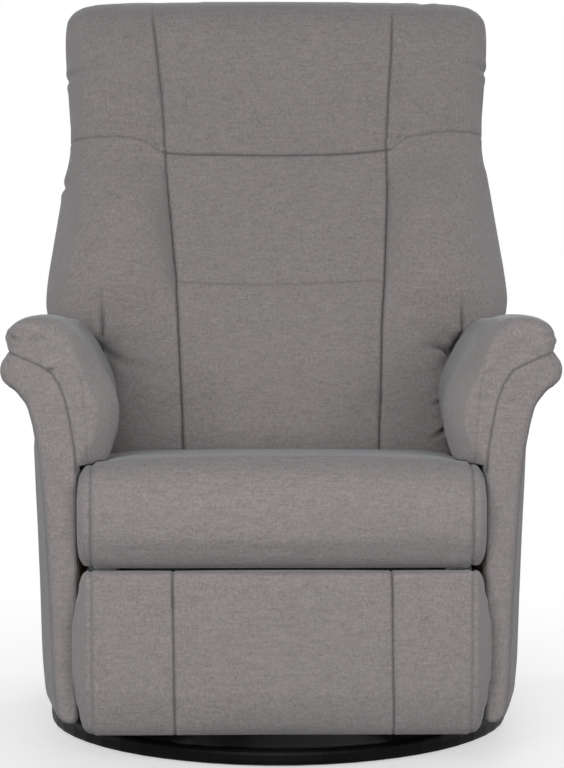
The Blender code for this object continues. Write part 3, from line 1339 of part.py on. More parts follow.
WING_STATIONS = tuple(wing_t(share) for share in (-0.18, 0.0, 0.16, 0.38, 0.66))
BACK_STATIONS = ((0.0, 0.004, 0.020, 0.060, 0.110, 0.150) + WING_STATIONS
                 + (LUMBAR_SEAM - 0.010, LUMBAR_SEAM, LUMBAR_SEAM + 0.010)
                 + tuple(body_t(share) for share in (0.19, 0.39, 0.58, 0.76, 0.90, 1.0)) + (NECK + 0.030,))
HEAD_SHARES = (0.09, 0.23, 0.38, 0.53, 0.68, 0.77, 0.845, 0.905, 0.95, 0.98, 1.0)
HEAD_STATIONS = (NECK - 0.030, NECK) + tuple(head_t(share) for share in HEAD_SHARES)
SHELL_STATIONS = ((SHELL_FOOT, SHELL_FOOT + 0.005, 0.040, 0.110) + WING_STATIONS
                  + tuple(body_t(share) for share in (0.0, 0.27, 0.55, 0.80)) + (NECK - TOUCH,))
HEAD_SHELL_STATIONS = (NECK + TOUCH,) + tuple(head_t(share) for share in HEAD_SHARES[1:])


def cushion_loft(name, stations, look):
    rings = []
    for t in stations:
        ring = full_ring(t)
        if t == 0.0:
            ring = [(x * 0.985, mix(n, (BACK_PARTING + SIDE_N) / 2, 0.10) if n > BACK_PARTING + 0.001 else n)
                    for x, n in ring]
        rings.append([from_back(t, n, x) for x, n in ring])
    return loft(name, rings, look)


def neck_cutter(name, sign):
    """The wedge that parts the head section from the back, hinged at the crease's bottom."""
    reach = 0.5
    slope = math.tan(math.radians(NECK_GROOVE))
    line = NECK - sign * TOUCH
    depth = 0.15
    outline = [(line, -0.25), (line, NECK_HINGE_N), (line - sign * depth * slope, NECK_HINGE_N + depth),
               (NECK + sign * 0.4, NECK_HINGE_N + depth), (NECK + sign * 0.4, -0.25)]
    return prism(name, [outline], -reach, reach, from_back)


def hinge_slot(name, sign, side):
    """Room in a cushion for the two hinge ears and their pin."""
    low, high = HINGE_X - HINGE_SLOT_AIR, HINGE_X + 2 * HINGE_EAR + LINK_AIR + HINGE_SLOT_AIR
    far = NECK - sign * 0.046 if sign > 0 else NECK + 0.058
    radius = HINGE_EAR_RADIUS + HINGE_SLOT_AIR
    near = NECK + sign * 0.004
    lower, upper = min(far, near), max(far, near)
    outline = [(lower, -0.14), (upper, -0.14), (upper, NECK_HINGE_N + radius), (lower, NECK_HINGE_N + radius)]
    return prism(name, [outline], *mirrored(side, low, high), from_back)


def make_back_cushion(looks):
    cushion = cushion_loft("back_cushion", BACK_STATIONS, looks["fabric"])
    cut(cushion, neck_cutter("cut_back_neck", 1))
    for side in SIDES:
        cut(cushion, hinge_slot(side_name("cut_back_hinge", side), 1, side))
    return cushion


def make_head_cushion(looks):
    cushion = cushion_loft("headrest_cushion", HEAD_STATIONS, looks["fabric"])
    cut(cushion, neck_cutter("cut_head_neck", -1))
    for side in SIDES:
        cut(cushion, hinge_slot(side_name("cut_head_hinge", side), -1, side))
    return cushion


def shell_ring(t):
    half = half_width(t)
    depth = SHELL_REAR(t)
    face = BACK_PARTING - TOUCH / 2
    side = [(half - 0.006, face), (half - 0.0055, face - depth * 0.35), (half - 0.014, face - depth * 0.72),
            (half - 0.040, face - depth * 0.93), (half * 0.55, face - depth * 0.985)]
    middle = (0.0, face - depth)
    return [(0.0, face)] + side + [middle] + [(-x, n) for x, n in reversed(side)]


def make_shell(name, stations, pocket_span, looks):
    rings = [[from_back(t, n, x) for x, n in shell_ring(t)] for t in stations]
    shell = loft(name, rings, looks["fabric"])
    floor = BACK_PARTING - TOUCH / 2 - FRAME_DEPTH - TOUCH
    mouth = BACK_PARTING + 0.05
    half = OUTER_LINK_OUT + POCKET_AIR
    low, high = pocket_span
    return cut(shell, prism("cut_" + name, [[(low, floor), (high, floor), (high, mouth), (low, mouth)]],
                            -half, half, from_back))


def make_upright(side, looks):
    """A bent steel plate from the recline pivot up into the back shell's pocket."""
    front = BACK_PARTING - TOUCH / 2
    rear = front - FRAME_DEPTH
    boss = UPRIGHT_BOSS
    top = CROSS_BAR_T + BAR_HEIGHT
    outline = ([(top, rear), (top, front), (-0.004, front)]
               + [(PIVOT_T + boss * math.sin(math.radians(a)), PIVOT_N + boss * math.cos(math.radians(a)))
                  for a in (115, 90, 60, 30, 0, -30, -60, -90)]
               + [(PIVOT_T - boss, PIVOT_N - 0.022), (PIVOT_T + 0.004, rear)])
    limits = mirrored(side, OUTER_LINK_IN, OUTER_LINK_OUT)
    upright = prism(side_name("back_upright", side), [outline], *limits, from_back, looks["steel"])
    outer_end = SIDE_PLATE_OUT + LINK_AIR + PIN_HEAD
    root = OUTER_LINK_OUT - PLATE / 2
    centre = (-RECLINE_PIVOT[0], RECLINE_PIVOT[1])
    return join(upright, pin(side_name("join_back_pin", side), side, centre, outer_end, root,
                             UPRIGHT_PIN, UPRIGHT_PIN + 0.004))


def make_pivot_tube(looks):
    end = OUTER_LINK_IN - TOUCH
    tube = turned("back_pivot_tube", [(PIVOT_TUBE_RADIUS, -end), (PIVOT_TUBE_RADIUS, end)], looks["steel"],
                  centre=(0, *RECLINE_PIVOT), axis="X", segments=20)
    slack = BACK_SLOT_HALF - CRANK_PIN
    crank = make_crank("join_back_crank", BACK_PIVOT_SIDE, -90.0 - BACK_CRANK_REST, BACK_CRANK - slack,
                       BACK_CRANK_FAR + slack, BACK_SLOT_HALF, MOTOR_X)
    return join(tube, crank)


def hinge_ear(name, bar_t, x_low, x_high):
    """A plate from the hinge line back to its cross bar."""
    face = BACK_PARTING - TOUCH / 2
    radius = HINGE_EAR_RADIUS
    bar_low, bar_high = bar_t + BAR_HEIGHT * 0.1, bar_t + BAR_HEIGHT * 0.9
    turn = 1 if bar_t > NECK else -1
    near, far = (bar_low, bar_high) if turn > 0 else (bar_high, bar_low)
    outline = [(far, face - 0.004), (far, face + 0.003)]
    for degrees in (70, 35, 0, -35, -70, -105, -140):
        forward, up = direction(degrees)
        outline.append((NECK + turn * radius * up, NECK_HINGE_N + radius * forward))
    outline += [(near, face + 0.003), (near, face - 0.004)]
    return prism(name, [outline], x_low, x_high, from_back)


def make_cross_bar(looks):
    """The back's upper bar, with the fixed ears and pins of the head section's hinge."""
    front = BACK_PARTING - TOUCH / 2
    half = OUTER_LINK_IN - TOUCH
    outline = [(CROSS_BAR_T, front - FRAME_DEPTH), (CROSS_BAR_T + BAR_HEIGHT, front - FRAME_DEPTH),
               (CROSS_BAR_T + BAR_HEIGHT, front), (CROSS_BAR_T, front)]
    bar = prism("back_cross_bar", [outline], -half, half, from_back, looks["steel"])
    hinge_y, hinge_z = from_back(NECK, NECK_HINGE_N, 0)[1:]
    for side in SIDES:
        low, high = mirrored(side, HINGE_X, HINGE_X + HINGE_EAR)
        join(bar, hinge_ear(side_name("join_back_ear", side), CROSS_BAR_T, low, high))
        ends = (HINGE_X + HINGE_EAR / 2, HINGE_X + 2 * HINGE_EAR + LINK_AIR + 0.001)
        join(bar, turned(side_name("join_hinge_pin", side),
                         [(HINGE_PIN_RADIUS, side * ends[0]), (HINGE_PIN_RADIUS, side * ends[1])],
                         centre=(0, hinge_y, hinge_z), axis="X", segments=12))
    return bar


def make_head_frame(looks):
    front = BACK_PARTING - TOUCH / 2
    outline = [(HEAD_BAR_T, front - FRAME_DEPTH), (HEAD_BAR_T + BAR_HEIGHT, front - FRAME_DEPTH),
               (HEAD_BAR_T + BAR_HEIGHT, front), (HEAD_BAR_T, front)]
    bar = prism("headrest_frame", [outline], -HEAD_BAR_HALF, HEAD_BAR_HALF, from_back, looks["steel"])
    for side in SIDES:
        inner = HINGE_X + HINGE_EAR + LINK_AIR
        low, high = mirrored(side, inner, inner + HINGE_EAR)
        join(bar, hinge_ear(side_name("join_head_ear", side), HEAD_BAR_T, low, high))
        hole = circle((NECK, NECK_HINGE_N), HINGE_PIN_RADIUS + PIN_PLAY)
        limits = mirrored(side, inner - 0.002, inner + HINGE_EAR + 0.002)
        cut(bar, prism(side_name("cut_head_ear", side), [hole], *limits, from_back))
    return bar


def main():
    clear_scene()
    looks = {
        "fabric": material("woven_fabric", (0.262, 0.238, 0.232), 0.95),
        "base": material("black_lacquer", (0.010, 0.010, 0.011), 0.35),
        "wood": material("beech_plywood", (0.60, 0.43, 0.27), 0.60),
        "steel": material("black_powder_coat", (0.030, 0.030, 0.032), 0.45, 0.6),
        "bright": material("zinc_plated_steel", (0.60, 0.60, 0.60), 0.30, 1.0),
        "plastic": material("black_plastic", (0.018, 0.018, 0.019), 0.50),
        "button": material("grey_plastic", (0.110, 0.110, 0.115), 0.45),
        "rubber": material("black_felt", (0.020, 0.020, 0.020), 0.95),
        "webbing": material("elastic_webbing", (0.045, 0.040, 0.038), 0.90),
    }
    base = Body("base", (0, 0, 0))
    chassis = Body("swivel", (0, 0, BASE_TOP), base)
    leg_a = Body("legrest", from_side(*LEG_PIVOT, 0), chassis)
    leg_b = Body("leg_link_b", from_side(*LINK_CROSS, 0), leg_a)
    leg_c = Body("leg_link_c", from_side(*LINK_A_END, 0), leg_a)
    footrest = Body("footrest", from_side(*LINK_B_END, 0), leg_b)
    leg_rod = Body("legrest_rod", from_side(*LEG_ROD_PIN, -MOTOR_X), chassis)
    back_rod = Body("recline_rod", from_side(*BACK_ROD_PIN, MOTOR_X), chassis)
    back = Body("recline", (0, *RECLINE_PIVOT), chassis)
    head = Body("headrest", from_back(NECK, NECK_HINGE_N, 0), back)

    base.carry(*make_base(looks))
    chassis.carry(*make_chassis(looks), *make_seat(looks), *make_arms(looks), make_bezel(looks),
                  make_rear_panel(looks), make_inlet(looks), make_control_box(looks),
                  make_leg_motor(looks), make_back_motor(looks))
    leg_a.carry(*[make_link_a(side, looks) for side in SIDES], make_torque_tube(looks))
    leg_b.carry(*[make_link_b(side, looks) for side in SIDES])
    leg_c.carry(*[make_link_c(side, looks) for side in SIDES])
    footrest.carry(*make_footrest(looks))
    leg_rod.carry(make_rod("legrest_rod", -MOTOR_X, LEG_ROD_PIN, LEG_ROD_LENGTH, 1, looks))
    back_rod.carry(make_rod("recline_rod", MOTOR_X, BACK_ROD_PIN, BACK_ROD_LENGTH, -1, looks))
    back.carry(*[make_upright(side, looks) for side in SIDES], make_pivot_tube(looks), make_cross_bar(looks),
               make_back_cushion(looks),
               make_shell("back_shell", SHELL_STATIONS,
                          (SHELL_FOOT - 0.02, CROSS_BAR_T + BAR_HEIGHT + TOUCH), looks))
    head.carry(make_head_frame(looks), make_head_cushion(looks),
               make_shell("headrest_shell", HEAD_SHELL_STATIONS,
                          (HEAD_BAR_T - TOUCH, HEAD_BAR_T + BAR_HEIGHT + TOUCH), looks))
    for index, name in enumerate(BUTTON_NAMES):
        y, z = button_centre(index)
        Body(name, (-bezel_face() - BUTTON_PROUD, y, z), chassis).carry(make_button(index, looks))


main()
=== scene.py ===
"""The power recliner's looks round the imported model: upholstery, materials, light and camera."""
import math

import bmesh
import bpy
import numpy as np
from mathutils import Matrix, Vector, kdtree


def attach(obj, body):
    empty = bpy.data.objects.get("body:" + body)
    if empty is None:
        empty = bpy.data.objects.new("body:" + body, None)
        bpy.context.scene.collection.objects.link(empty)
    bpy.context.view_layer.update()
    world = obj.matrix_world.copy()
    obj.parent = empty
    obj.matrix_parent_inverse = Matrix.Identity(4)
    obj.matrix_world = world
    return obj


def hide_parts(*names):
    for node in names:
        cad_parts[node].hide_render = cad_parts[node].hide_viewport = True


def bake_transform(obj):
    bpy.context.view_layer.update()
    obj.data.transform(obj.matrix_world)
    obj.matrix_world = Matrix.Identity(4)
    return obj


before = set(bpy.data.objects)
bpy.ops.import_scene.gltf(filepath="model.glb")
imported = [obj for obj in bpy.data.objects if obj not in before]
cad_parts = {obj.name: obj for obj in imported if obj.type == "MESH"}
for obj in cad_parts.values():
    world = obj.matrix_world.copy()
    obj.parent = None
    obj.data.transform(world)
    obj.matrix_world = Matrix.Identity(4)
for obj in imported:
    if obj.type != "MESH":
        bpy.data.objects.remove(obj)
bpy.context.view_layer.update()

# Sizes that the upholstery shares with the CAD model, in metres
DECK = 0.3345                     # top of the deck that the seat cushion lies on
SEAT_HALF = 0.290                 # half the seat cushion's width
FRONT = -0.430                    # Y of the front of the seat and the footrest
ARM_INNER = 0.2945                # distance of the arm panels' inner faces from the middle
ARM_FRONT = -0.372                # Y of the arms' front faces
PAD_REAR = 0.100                  # Y where the arm pads end
LEAN = math.radians(13.0)         # how far the back leans at rest
BACK_FOOT = (0.100, 0.400)        # Y and Z where the back's own frame starts
NECK = 0.515                      # t of the joint between back and head section
PARTING = -0.100                  # n of the seam between the back's front and rear covers

# How the covers are made
EVEN_STEP, BACK_STEP = 0.55, -0.48    # steps that even out a mesh and then restore its size
SWELL_FRAMES = 20
SWELL_PRESSURE = 4.0
SEWN = 0.004                      # half the width of the strip that a seam holds down
SEAM_SHADE_HALF_WIDTH = 0.0016                # half the width of the painted shade line in a seam
FOLD_START = 0.15                 # strength of a fold at its first point, 1 at its last
SHARP = math.radians(35)          # edges of hard pieces above this angle stay sharp


# Arrays of a mesh

def points_of(obj):
    flat = np.empty(len(obj.data.vertices) * 3, np.float32)
    obj.data.vertices.foreach_get("co", flat)
    return flat.reshape(-1, 3).astype(float)


def move_points(obj, points):
    obj.data.vertices.foreach_set("co", points.astype(np.float32).ravel())
    obj.data.update()


def normals_of(obj):
    flat = np.empty(len(obj.data.vertices) * 3, np.float32)
    obj.data.vertices.foreach_get("normal", flat)
    return flat.reshape(-1, 3).astype(float)


def edges_of(obj):
    flat = np.empty(len(obj.data.edges) * 2, np.int32)
    obj.data.edges.foreach_get("vertices", flat)
    return flat.reshape(-1, 2)


def smooth_step(value):
    value = np.clip(value, 0.0, 1.0)
    return value * value * (3 - 2 * value)


def rising(value, start, width):
    """0 up to the start, then a soft rise to 1 over the width."""
    return smooth_step((value - start) / width)


def falling(value, end, width):
    """1 up to the width before the end, then a soft fall to 0 at the end."""
    return smooth_step((end - value) / width)


def curve_through(knots):
    """A function that reads a line through (place, value) knots."""
    xs, ys = zip(*knots)
    return lambda value: np.interp(value, xs, ys)


def along_line(flat, start, end):
    """How far along a straight line each point lies, from 0 to 1, and its distance from it."""
    along, offset = np.array(end) - np.array(start), flat - np.array(start)
    share = np.clip(offset @ along / (along @ along), 0, 1)
    return share, np.linalg.norm(offset - share[:, None] * along, axis=1)


def tree_of(places):
    tree = kdtree.KDTree(len(places))
    for i, place in enumerate(places):
        tree.insert(place, i)
    tree.balance()
    return tree


# Making and shaping a soft piece

def bake_modifiers(obj):
    graph = bpy.context.evaluated_depsgraph_get()
    graph.update()
    mesh = bpy.data.meshes.new_from_object(obj.evaluated_get(graph))
    old = obj.data
    obj.modifiers.clear()
    obj.data = mesh
    bpy.data.meshes.remove(old)


def even_out(obj, voxel):
    remesh = obj.modifiers.new("even", "REMESH")
    remesh.mode = "VOXEL"
    remesh.voxel_size = voxel
    bake_modifiers(obj)


def soft_copy(name, nodes, voxel, others=()):
    """A new piece from the shapes of CAD nodes and other meshes, with an even mesh."""
    joined = bmesh.new()
    for node in nodes:
        joined.from_mesh(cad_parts[node].data)
    for mesh in others:
        joined.from_mesh(mesh)
    mesh = bpy.data.meshes.new(name)
    joined.to_mesh(mesh)
    joined.free()
    obj = bpy.data.objects.new(name, mesh)
    bpy.context.scene.collection.objects.link(obj)
    even_out(obj, voxel)
    return obj


def relax(obj, rounds, hold=None, back=BACK_STEP):
    """Evens out small facets. Hold is 1 where a point stays. With back at 0 it pulls tight."""
    points, edges = points_of(obj), edges_of(obj)
    count = len(points)
    links = np.bincount(edges.ravel(), minlength=count)[:, None]
    free = 1.0 if hold is None else (1.0 - hold)[:, None]
    for step in range(rounds * 2):
        mean = np.stack([np.bincount(edges[:, 0], points[edges[:, 1], axis], count)
                         + np.bincount(edges[:, 1], points[edges[:, 0], axis], count)
                         for axis in range(3)], axis=1) / links
        size = EVEN_STEP if step % 2 == 0 or not back else back
        points = points + (mean - points) * free * size
    move_points(obj, points)


def inflate(obj, pinned, cap):
    """Lets the cover swell, by the cap at most. Pinned is true where it is sewn or held down."""
    start = points_of(obj)
    group = obj.vertex_groups.new(name="sewn")
    group.add([int(i) for i in np.nonzero(pinned)[0]], 1.0, "REPLACE")
    cloth = obj.modifiers.new("swell", "CLOTH")
    settings = cloth.settings
    settings.quality = 4
    settings.mass = 0.3
    settings.use_pressure = True
    settings.uniform_pressure_force = SWELL_PRESSURE
    settings.vertex_group_mass = group.name
    settings.effector_weights.gravity = 0.0
    cloth.collision_settings.use_collision = False
    cloth.point_cache.frame_start, cloth.point_cache.frame_end = 1, SWELL_FRAMES
    scene = bpy.context.scene
    for number in range(1, SWELL_FRAMES + 1):
        scene.frame_set(number)
    graph = bpy.context.evaluated_depsgraph_get()
    shown = obj.evaluated_get(graph)
    swollen = np.empty(len(shown.data.vertices) * 3, np.float32)
    shown.data.vertices.foreach_get("co", swollen)
    moved = swollen.reshape(-1, 3).astype(float) - start
    obj.modifiers.clear()
    obj.vertex_groups.clear()
    scene.frame_set(1)
    far = np.linalg.norm(moved, axis=1, keepdims=True)
    move_points(obj, start + moved * np.minimum(1.0, cap / np.maximum(far, 1e-9)))


def refine(obj):
    finer = obj.modifiers.new("finer", "SUBSURF")
    finer.levels = finer.render_levels = 1
    bake_modifiers(obj)


def clip(obj, low, high):
    move_points(obj, np.minimum(np.maximum(points_of(obj), low), high))


def snap(obj, field):
    """Moves the nearer end of each edge that crosses a seam onto the seam.

    The field gives the signed distance from the seam, and nan where the seam has ended.
    """
    points, edges = points_of(obj), edges_of(obj)
    value = field(points)
    first, second = edges[:, 0], edges[:, 1]
    with np.errstate(invalid="ignore"):
        crossing = value[first] * value[second] < 0
    first, second = first[crossing], second[crossing]
    swap = np.abs(value[first]) > np.abs(value[second])
    near, far = np.where(swap, second, first), np.where(swap, first, second)
    share = np.abs(value[near]) / (np.abs(value[near]) + np.abs(value[far]))
    order = np.argsort(-share)
    near, far, share = near[order], far[order], share[order, None]
    target = points.copy()
    target[near] = points[near] + (points[far] - points[near]) * share
    move_points(obj, target)


def shade_attribute(obj):
    """The attribute of painted shade that darkens seams and folds, and its values."""
    layer = obj.data.attributes.get("crease")
    if layer is None:
        layer = obj.data.attributes.new("crease", "FLOAT", "POINT")
    values = np.empty(len(obj.data.vertices), np.float32)
    layer.data.foreach_get("value", values)
    return layer, values


# Paints shade into a cover's colour, keeping the darker value at each point
def darken(obj, dark):
    layer, values = shade_attribute(obj)
    layer.data.foreach_set("value", np.maximum(values, dark).astype(np.float32))


def carve(obj, field, depth, width, shade, swell, taper=None):
    """Sinks a seam into the cover, with lips that swell beside it.

    Shade is how dark the painted shade in it is, and taper gives its strength at each point.
    """
    points, normals = points_of(obj), normals_of(obj)
    strength = 1.0 if taper is None else taper(points)
    reach = np.abs(np.nan_to_num(field(points), nan=1.0))
    line = np.exp(-(reach / width) ** 2 * 1.6)
    lips = np.exp(-((reach - width * 2.2) / (width * 1.3)) ** 2)
    move_points(obj, points - normals * ((depth * line - swell * lips) * strength)[:, None])
    # The dark line along the seam is painted shade
    darken(obj, np.exp(-(reach / SEAM_SHADE_HALF_WIDTH) ** 2) * shade * strength)


def seam(obj, field, depth, width, shade, swell, taper=None):
    snap(obj, field)
    carve(obj, field, depth, width, shade, swell, taper)


def fold(obj, flat_of, line, depth, width, shade):
    """A pulled fold along a short line, deepest at its last point, with painted shade along its
    hollow.

    Flat_of gives each point's place on the plane of the line, and 0 where the fold can't reach.
    """
    points, normals = points_of(obj), normals_of(obj)
    flat, mask = flat_of(points)
    reach = np.minimum.reduce([along_line(flat, *ends)[1] for ends in zip(line, line[1:])])
    share = along_line(flat, line[0], line[-1])[0]
    strength = (FOLD_START + (1.0 - FOLD_START) * smooth_step(share)) * mask
    hollow = np.exp(-(reach / width) ** 2)
    lip = np.exp(-((reach - width * 2.0) / width) ** 2) * 0.30
    move_points(obj, points - normals * (depth * (hollow - lip) * strength)[:, None])
    # Painted shade along the fold's hollow
    darken(obj, np.exp(-(reach / (width * 0.60)) ** 2) * strength * shade)


def finish_soft(obj, body, nodes, blend_to=None):
    """Gives a cover its material and its place in the model. Its weave lies on its rest shape."""
    shade_attribute(obj)
    rest = obj.data.attributes.new("cloth_at", "FLOAT_VECTOR", "POINT")
    rest.data.foreach_set("vector", points_of(obj).astype(np.float32).ravel())
    obj.data.materials.clear()
    obj.data.materials.append(UPHOLSTERY)
    obj.data.polygons.foreach_set("use_smooth", np.ones(len(obj.data.polygons), bool))
    if blend_to:
        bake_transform(obj)
    else:
        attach(obj, body)
    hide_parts(*nodes)
    return obj


# Materials

def material(name, colour, roughness, **sockets):
    """A principled material, with other sockets by name. Its colour shows if none is wired in."""
    made = bpy.data.materials.new(name)
    made.use_nodes = True
    shader = made.node_tree.nodes["Principled BSDF"]
    shader.inputs["Base Color"].default_value = (*colour, 1)
    shader.inputs["Roughness"].default_value = roughness
    for socket, value in sockets.items():
        shader.inputs[socket.replace("_", " ")].default_value = value
    return made


class Wiring:
    """Short ways to add nodes to a material."""

    def __init__(self, made):
        self.tree = made.node_tree
        self.shader = self.tree.nodes["Principled BSDF"]

    def add(self, kind, inputs=None, **settings):
        made = self.tree.nodes.new(kind)
        for key, value in settings.items():
            setattr(made, key, value)
        for key, value in (inputs or {}).items():
            if isinstance(value, bpy.types.NodeSocket):
                self.tree.links.new(value, made.inputs[key])
            else:
                made.inputs[key].default_value = value
        return made

    def place(self):
        return self.add("ShaderNodeTexCoord").outputs["Object"]

    def maths(self, operation, *values):
        inputs = dict(enumerate(values))
        return self.add("ShaderNodeMath", inputs, operation=operation).outputs[0]

    def scaled(self, vector, scale):
        inputs = {0: vector, 1: scale}
        return self.add("ShaderNodeVectorMath", inputs, operation="MULTIPLY").outputs[0]

    def noise(self, vector, scale, detail=2.0, roughness=0.5):
        inputs = {"Vector": vector, "Scale": scale, "Detail": detail, "Roughness": roughness}
        return self.add("ShaderNodeTexNoise", inputs).outputs["Fac"]

    def waves(self, vector, scale, direction, **shape):
        inputs = {"Vector": vector, "Scale": scale}
        inputs.update({socket.replace("_", " "): value for socket, value in shape.items()})
        return self.add("ShaderNodeTexWave", inputs, bands_direction=direction).outputs["Fac"]

    def spread(self, value, low, high, to_low=0.0, to_high=1.0):
        inputs = {"Value": value, "From Min": low, "From Max": high,
                  "To Min": to_low, "To Max": to_high}
        return self.add("ShaderNodeMapRange", inputs).outputs[0]

    def mix(self, share, first, second):
        inputs = {0: share, 6: first, 7: second}
        return self.add("ShaderNodeMix", inputs, data_type="RGBA").outputs[2]

    def bump(self, height, strength, distance, normal=None):
        inputs = {"Height": height, "Strength": strength, "Distance": distance}
        if normal is not None:
            inputs["Normal"] = normal
        return self.add("ShaderNodeBump", inputs).outputs[0]

    def into(self, socket, value):
        self.tree.links.new(value, self.shader.inputs[socket])


def upholstery_material():
    made = material("woven_upholstery", (0.26, 0.24, 0.235), 0.92, Specular_IOR_Level=0.18,
                    Sheen_Weight=0.24, Sheen_Roughness=0.42, Sheen_Tint=(0.86, 0.95, 1.0, 1.0))
    w = Wiring(made)
    at = w.add("ShaderNodeAttribute", attribute_name="cloth_at").outputs["Vector"]
    # Faces that look sideways take Y as their way across
    normal = w.add("ShaderNodeTexCoord").outputs["Normal"]
    facing = w.add("ShaderNodeSeparateXYZ", {0: normal}).outputs[0]
    sideways = w.spread(w.maths("ABSOLUTE", facing), 0.55, 0.80)
    x, y, z = w.add("ShaderNodeSeparateXYZ", {0: at}).outputs
    turned = w.add("ShaderNodeCombineXYZ", {0: y, 1: x, 2: z}).outputs[0]
    cloth = w.add("ShaderNodeMix", {0: sideways, 4: at, 5: turned}, data_type="VECTOR").outputs[1]
    # Threads that lie across and threads that run up and down
    across = w.noise(w.scaled(cloth, (160, 640, 640)), 1.0, 3.0, 0.55)
    down = w.noise(w.scaled(cloth, (640, 150, 150)), 1.0, 3.0, 0.55)
    flecks = w.noise(cloth, 420.0, 2.0, 0.6)
    streaks = w.noise(w.scaled(cloth, (42, 230, 230)), 1.0, 3.0, 0.6)
    patches = w.noise(cloth, 5.5, 3.0, 0.5)
    rub = w.noise(cloth, 38.0, 3.0, 0.6)
    threads = w.maths("ADD", across, down)
    tone = w.maths("ADD", w.maths("MULTIPLY", threads, 0.85), w.maths("MULTIPLY", flecks, 0.5))
    tone = w.maths("ADD", tone, w.maths("MULTIPLY", streaks, 0.55))
    tone = w.spread(tone, 1.02, 1.70)
    base = w.mix(tone, (0.178, 0.160, 0.160, 1), (0.338, 0.307, 0.308, 1))
    worn = w.mix(w.spread(patches, 0.3, 0.7, 0.0, 0.22), base, (0.228, 0.214, 0.217, 1))
    worn = w.mix(w.spread(rub, 0.35, 0.7, 0.0, 0.10), worn, (0.342, 0.318, 0.318, 1))
    # Painted shade: seams and folds are darkened towards a near black
    crease = w.add("ShaderNodeAttribute", attribute_name="crease").outputs["Fac"]
    w.into("Base Color", w.mix(w.maths("MULTIPLY", crease, 0.82), worn, (0.030, 0.026, 0.025, 1)))
    w.into("Roughness", w.spread(flecks, 0.3, 0.7, 0.84, 0.98))
    # The weave itself: crossed ribs at thread pitch, broken up by the threads
    upright, level = (w.waves(cloth, 175.0, axis, Distortion=1.2, Detail=1.0, Detail_Scale=2.0)
                      for axis in "XZ")
    weave = w.maths("ADD", w.maths("MULTIPLY", upright, level), w.maths("MULTIPLY", threads, 0.9))
    soft = w.bump(rub, 0.25, 0.0012)
    w.into("Normal", w.bump(weave, 0.45, 0.0009, soft))
    return made


def coated_metal(name, colour, roughness, grain, gloss=0.5):
    made = material(name, colour, roughness, Specular_IOR_Level=gloss)
    w = Wiring(made)
    at = w.place()
    fine = w.noise(at, grain, 2.0, 0.6)
    broad = w.noise(at, 9.0, 2.0, 0.5)
    dark = tuple(c * 0.75 for c in colour)
    light = tuple(min(1.0, c * 1.35 + 0.002) for c in colour)
    w.into("Base Color", w.mix(w.spread(broad, 0.3, 0.7), (*dark, 1), (*light, 1)))
    w.into("Roughness", w.spread(fine, 0.3, 0.7, roughness - 0.08, roughness + 0.10))
    w.into("Normal", w.bump(fine, 0.22, 0.0004))
    return made


def bare_metal(name):
    made = material(name, (0.60, 0.60, 0.60), 0.32, Metallic=1.0)
    w = Wiring(made)
    at = w.place()
    lines = w.noise(w.scaled(at, (40, 900, 900)), 1.0, 2.0, 0.5)
    cloud = w.noise(at, 60.0, 3.0, 0.6)
    shade = w.spread(cloud, 0.3, 0.7)
    w.into("Base Color", w.mix(shade, (0.50, 0.50, 0.50, 1), (0.66, 0.66, 0.64, 1)))
    w.into("Roughness", w.spread(lines, 0.3, 0.7, 0.25, 0.42))
    w.into("Normal", w.bump(lines, 0.12, 0.0003))
    return made


def moulded_plastic(name, colour, roughness):
    made = material(name, colour, roughness, Specular_IOR_Level=0.45)
    w = Wiring(made)
    at = w.place()
    grain = w.add("ShaderNodeTexVoronoi", {"Vector": at, "Scale": 1400.0}).outputs["Distance"]
    wear = w.noise(at, 24.0, 3.0, 0.6)
    light = tuple(c * 1.5 + 0.006 for c in colour)
    w.into("Base Color", w.mix(w.spread(wear, 0.45, 0.75), (*colour, 1), (*light, 1)))
    w.into("Roughness", w.spread(wear, 0.3, 0.7, roughness - 0.06, roughness + 0.08))
    w.into("Normal", w.bump(grain, 0.20, 0.0003))
    return made


def plywood(name):
    made = material(name, (0.60, 0.43, 0.27), 0.6)
    w = Wiring(made)
    at = w.place()
    rings = w.waves(w.scaled(at, (3.0, 22.0, 26.0)), 1.6, "Y",
                    Distortion=7.0, Detail=3.0, Detail_Scale=1.2)
    pores = w.noise(w.scaled(at, (60, 900, 900)), 1.0, 2.0, 0.5)
    tone = w.mix(rings, (0.38, 0.26, 0.155, 1), (0.52, 0.38, 0.25, 1))
    open_pores = w.spread(pores, 0.55, 0.75, 0.0, 0.35)
    w.into("Base Color", w.mix(open_pores, tone, (0.34, 0.21, 0.11, 1)))
    w.into("Normal", w.bump(pores, 0.15, 0.0004))
    return made


def webbing(name):
    made = material(name, (0.045, 0.040, 0.038), 0.85)
    w = Wiring(made)
    at = w.place()
    weave = w.maths("MULTIPLY", w.waves(at, 160.0, "X"), w.waves(at, 60.0, "Y"))
    w.into("Base Color", w.mix(weave, (0.028, 0.025, 0.024, 1), (0.075, 0.068, 0.064, 1)))
    w.into("Normal", w.bump(weave, 0.5, 0.0008))
    return made


def felt(name):
    made = material(name, (0.02, 0.02, 0.02), 0.95)
    w = Wiring(made)
    hairs = w.noise(w.place(), 700.0, 3.0, 0.7)
    w.into("Base Color", w.mix(hairs, (0.012, 0.012, 0.012, 1), (0.035, 0.035, 0.036, 1)))
    w.into("Normal", w.bump(hairs, 0.5, 0.001))
    return made


UPHOLSTERY = upholstery_material()
HARD = {
    "beech_plywood": plywood("beech_plywood_boards"),
    "black_powder_coat":
        coated_metal("black_powder_coat_steel", (0.030, 0.030, 0.032), 0.48, 900.0),
    "zinc_plated_steel": bare_metal("zinc_plated_rods"),
    "black_plastic": moulded_plastic("black_moulded_plastic", (0.018, 0.018, 0.019), 0.45),
    "grey_plastic": moulded_plastic("grey_moulded_plastic", (0.110, 0.110, 0.115), 0.50),
    "elastic_webbing": webbing("elastic_webbing_straps"),
    "black_lacquer":
        coated_metal("black_lacquer_disc", (0.0015, 0.0015, 0.0018), 0.42, 260.0, 0.06),
    "black_felt": felt("black_felt_ring"),
}


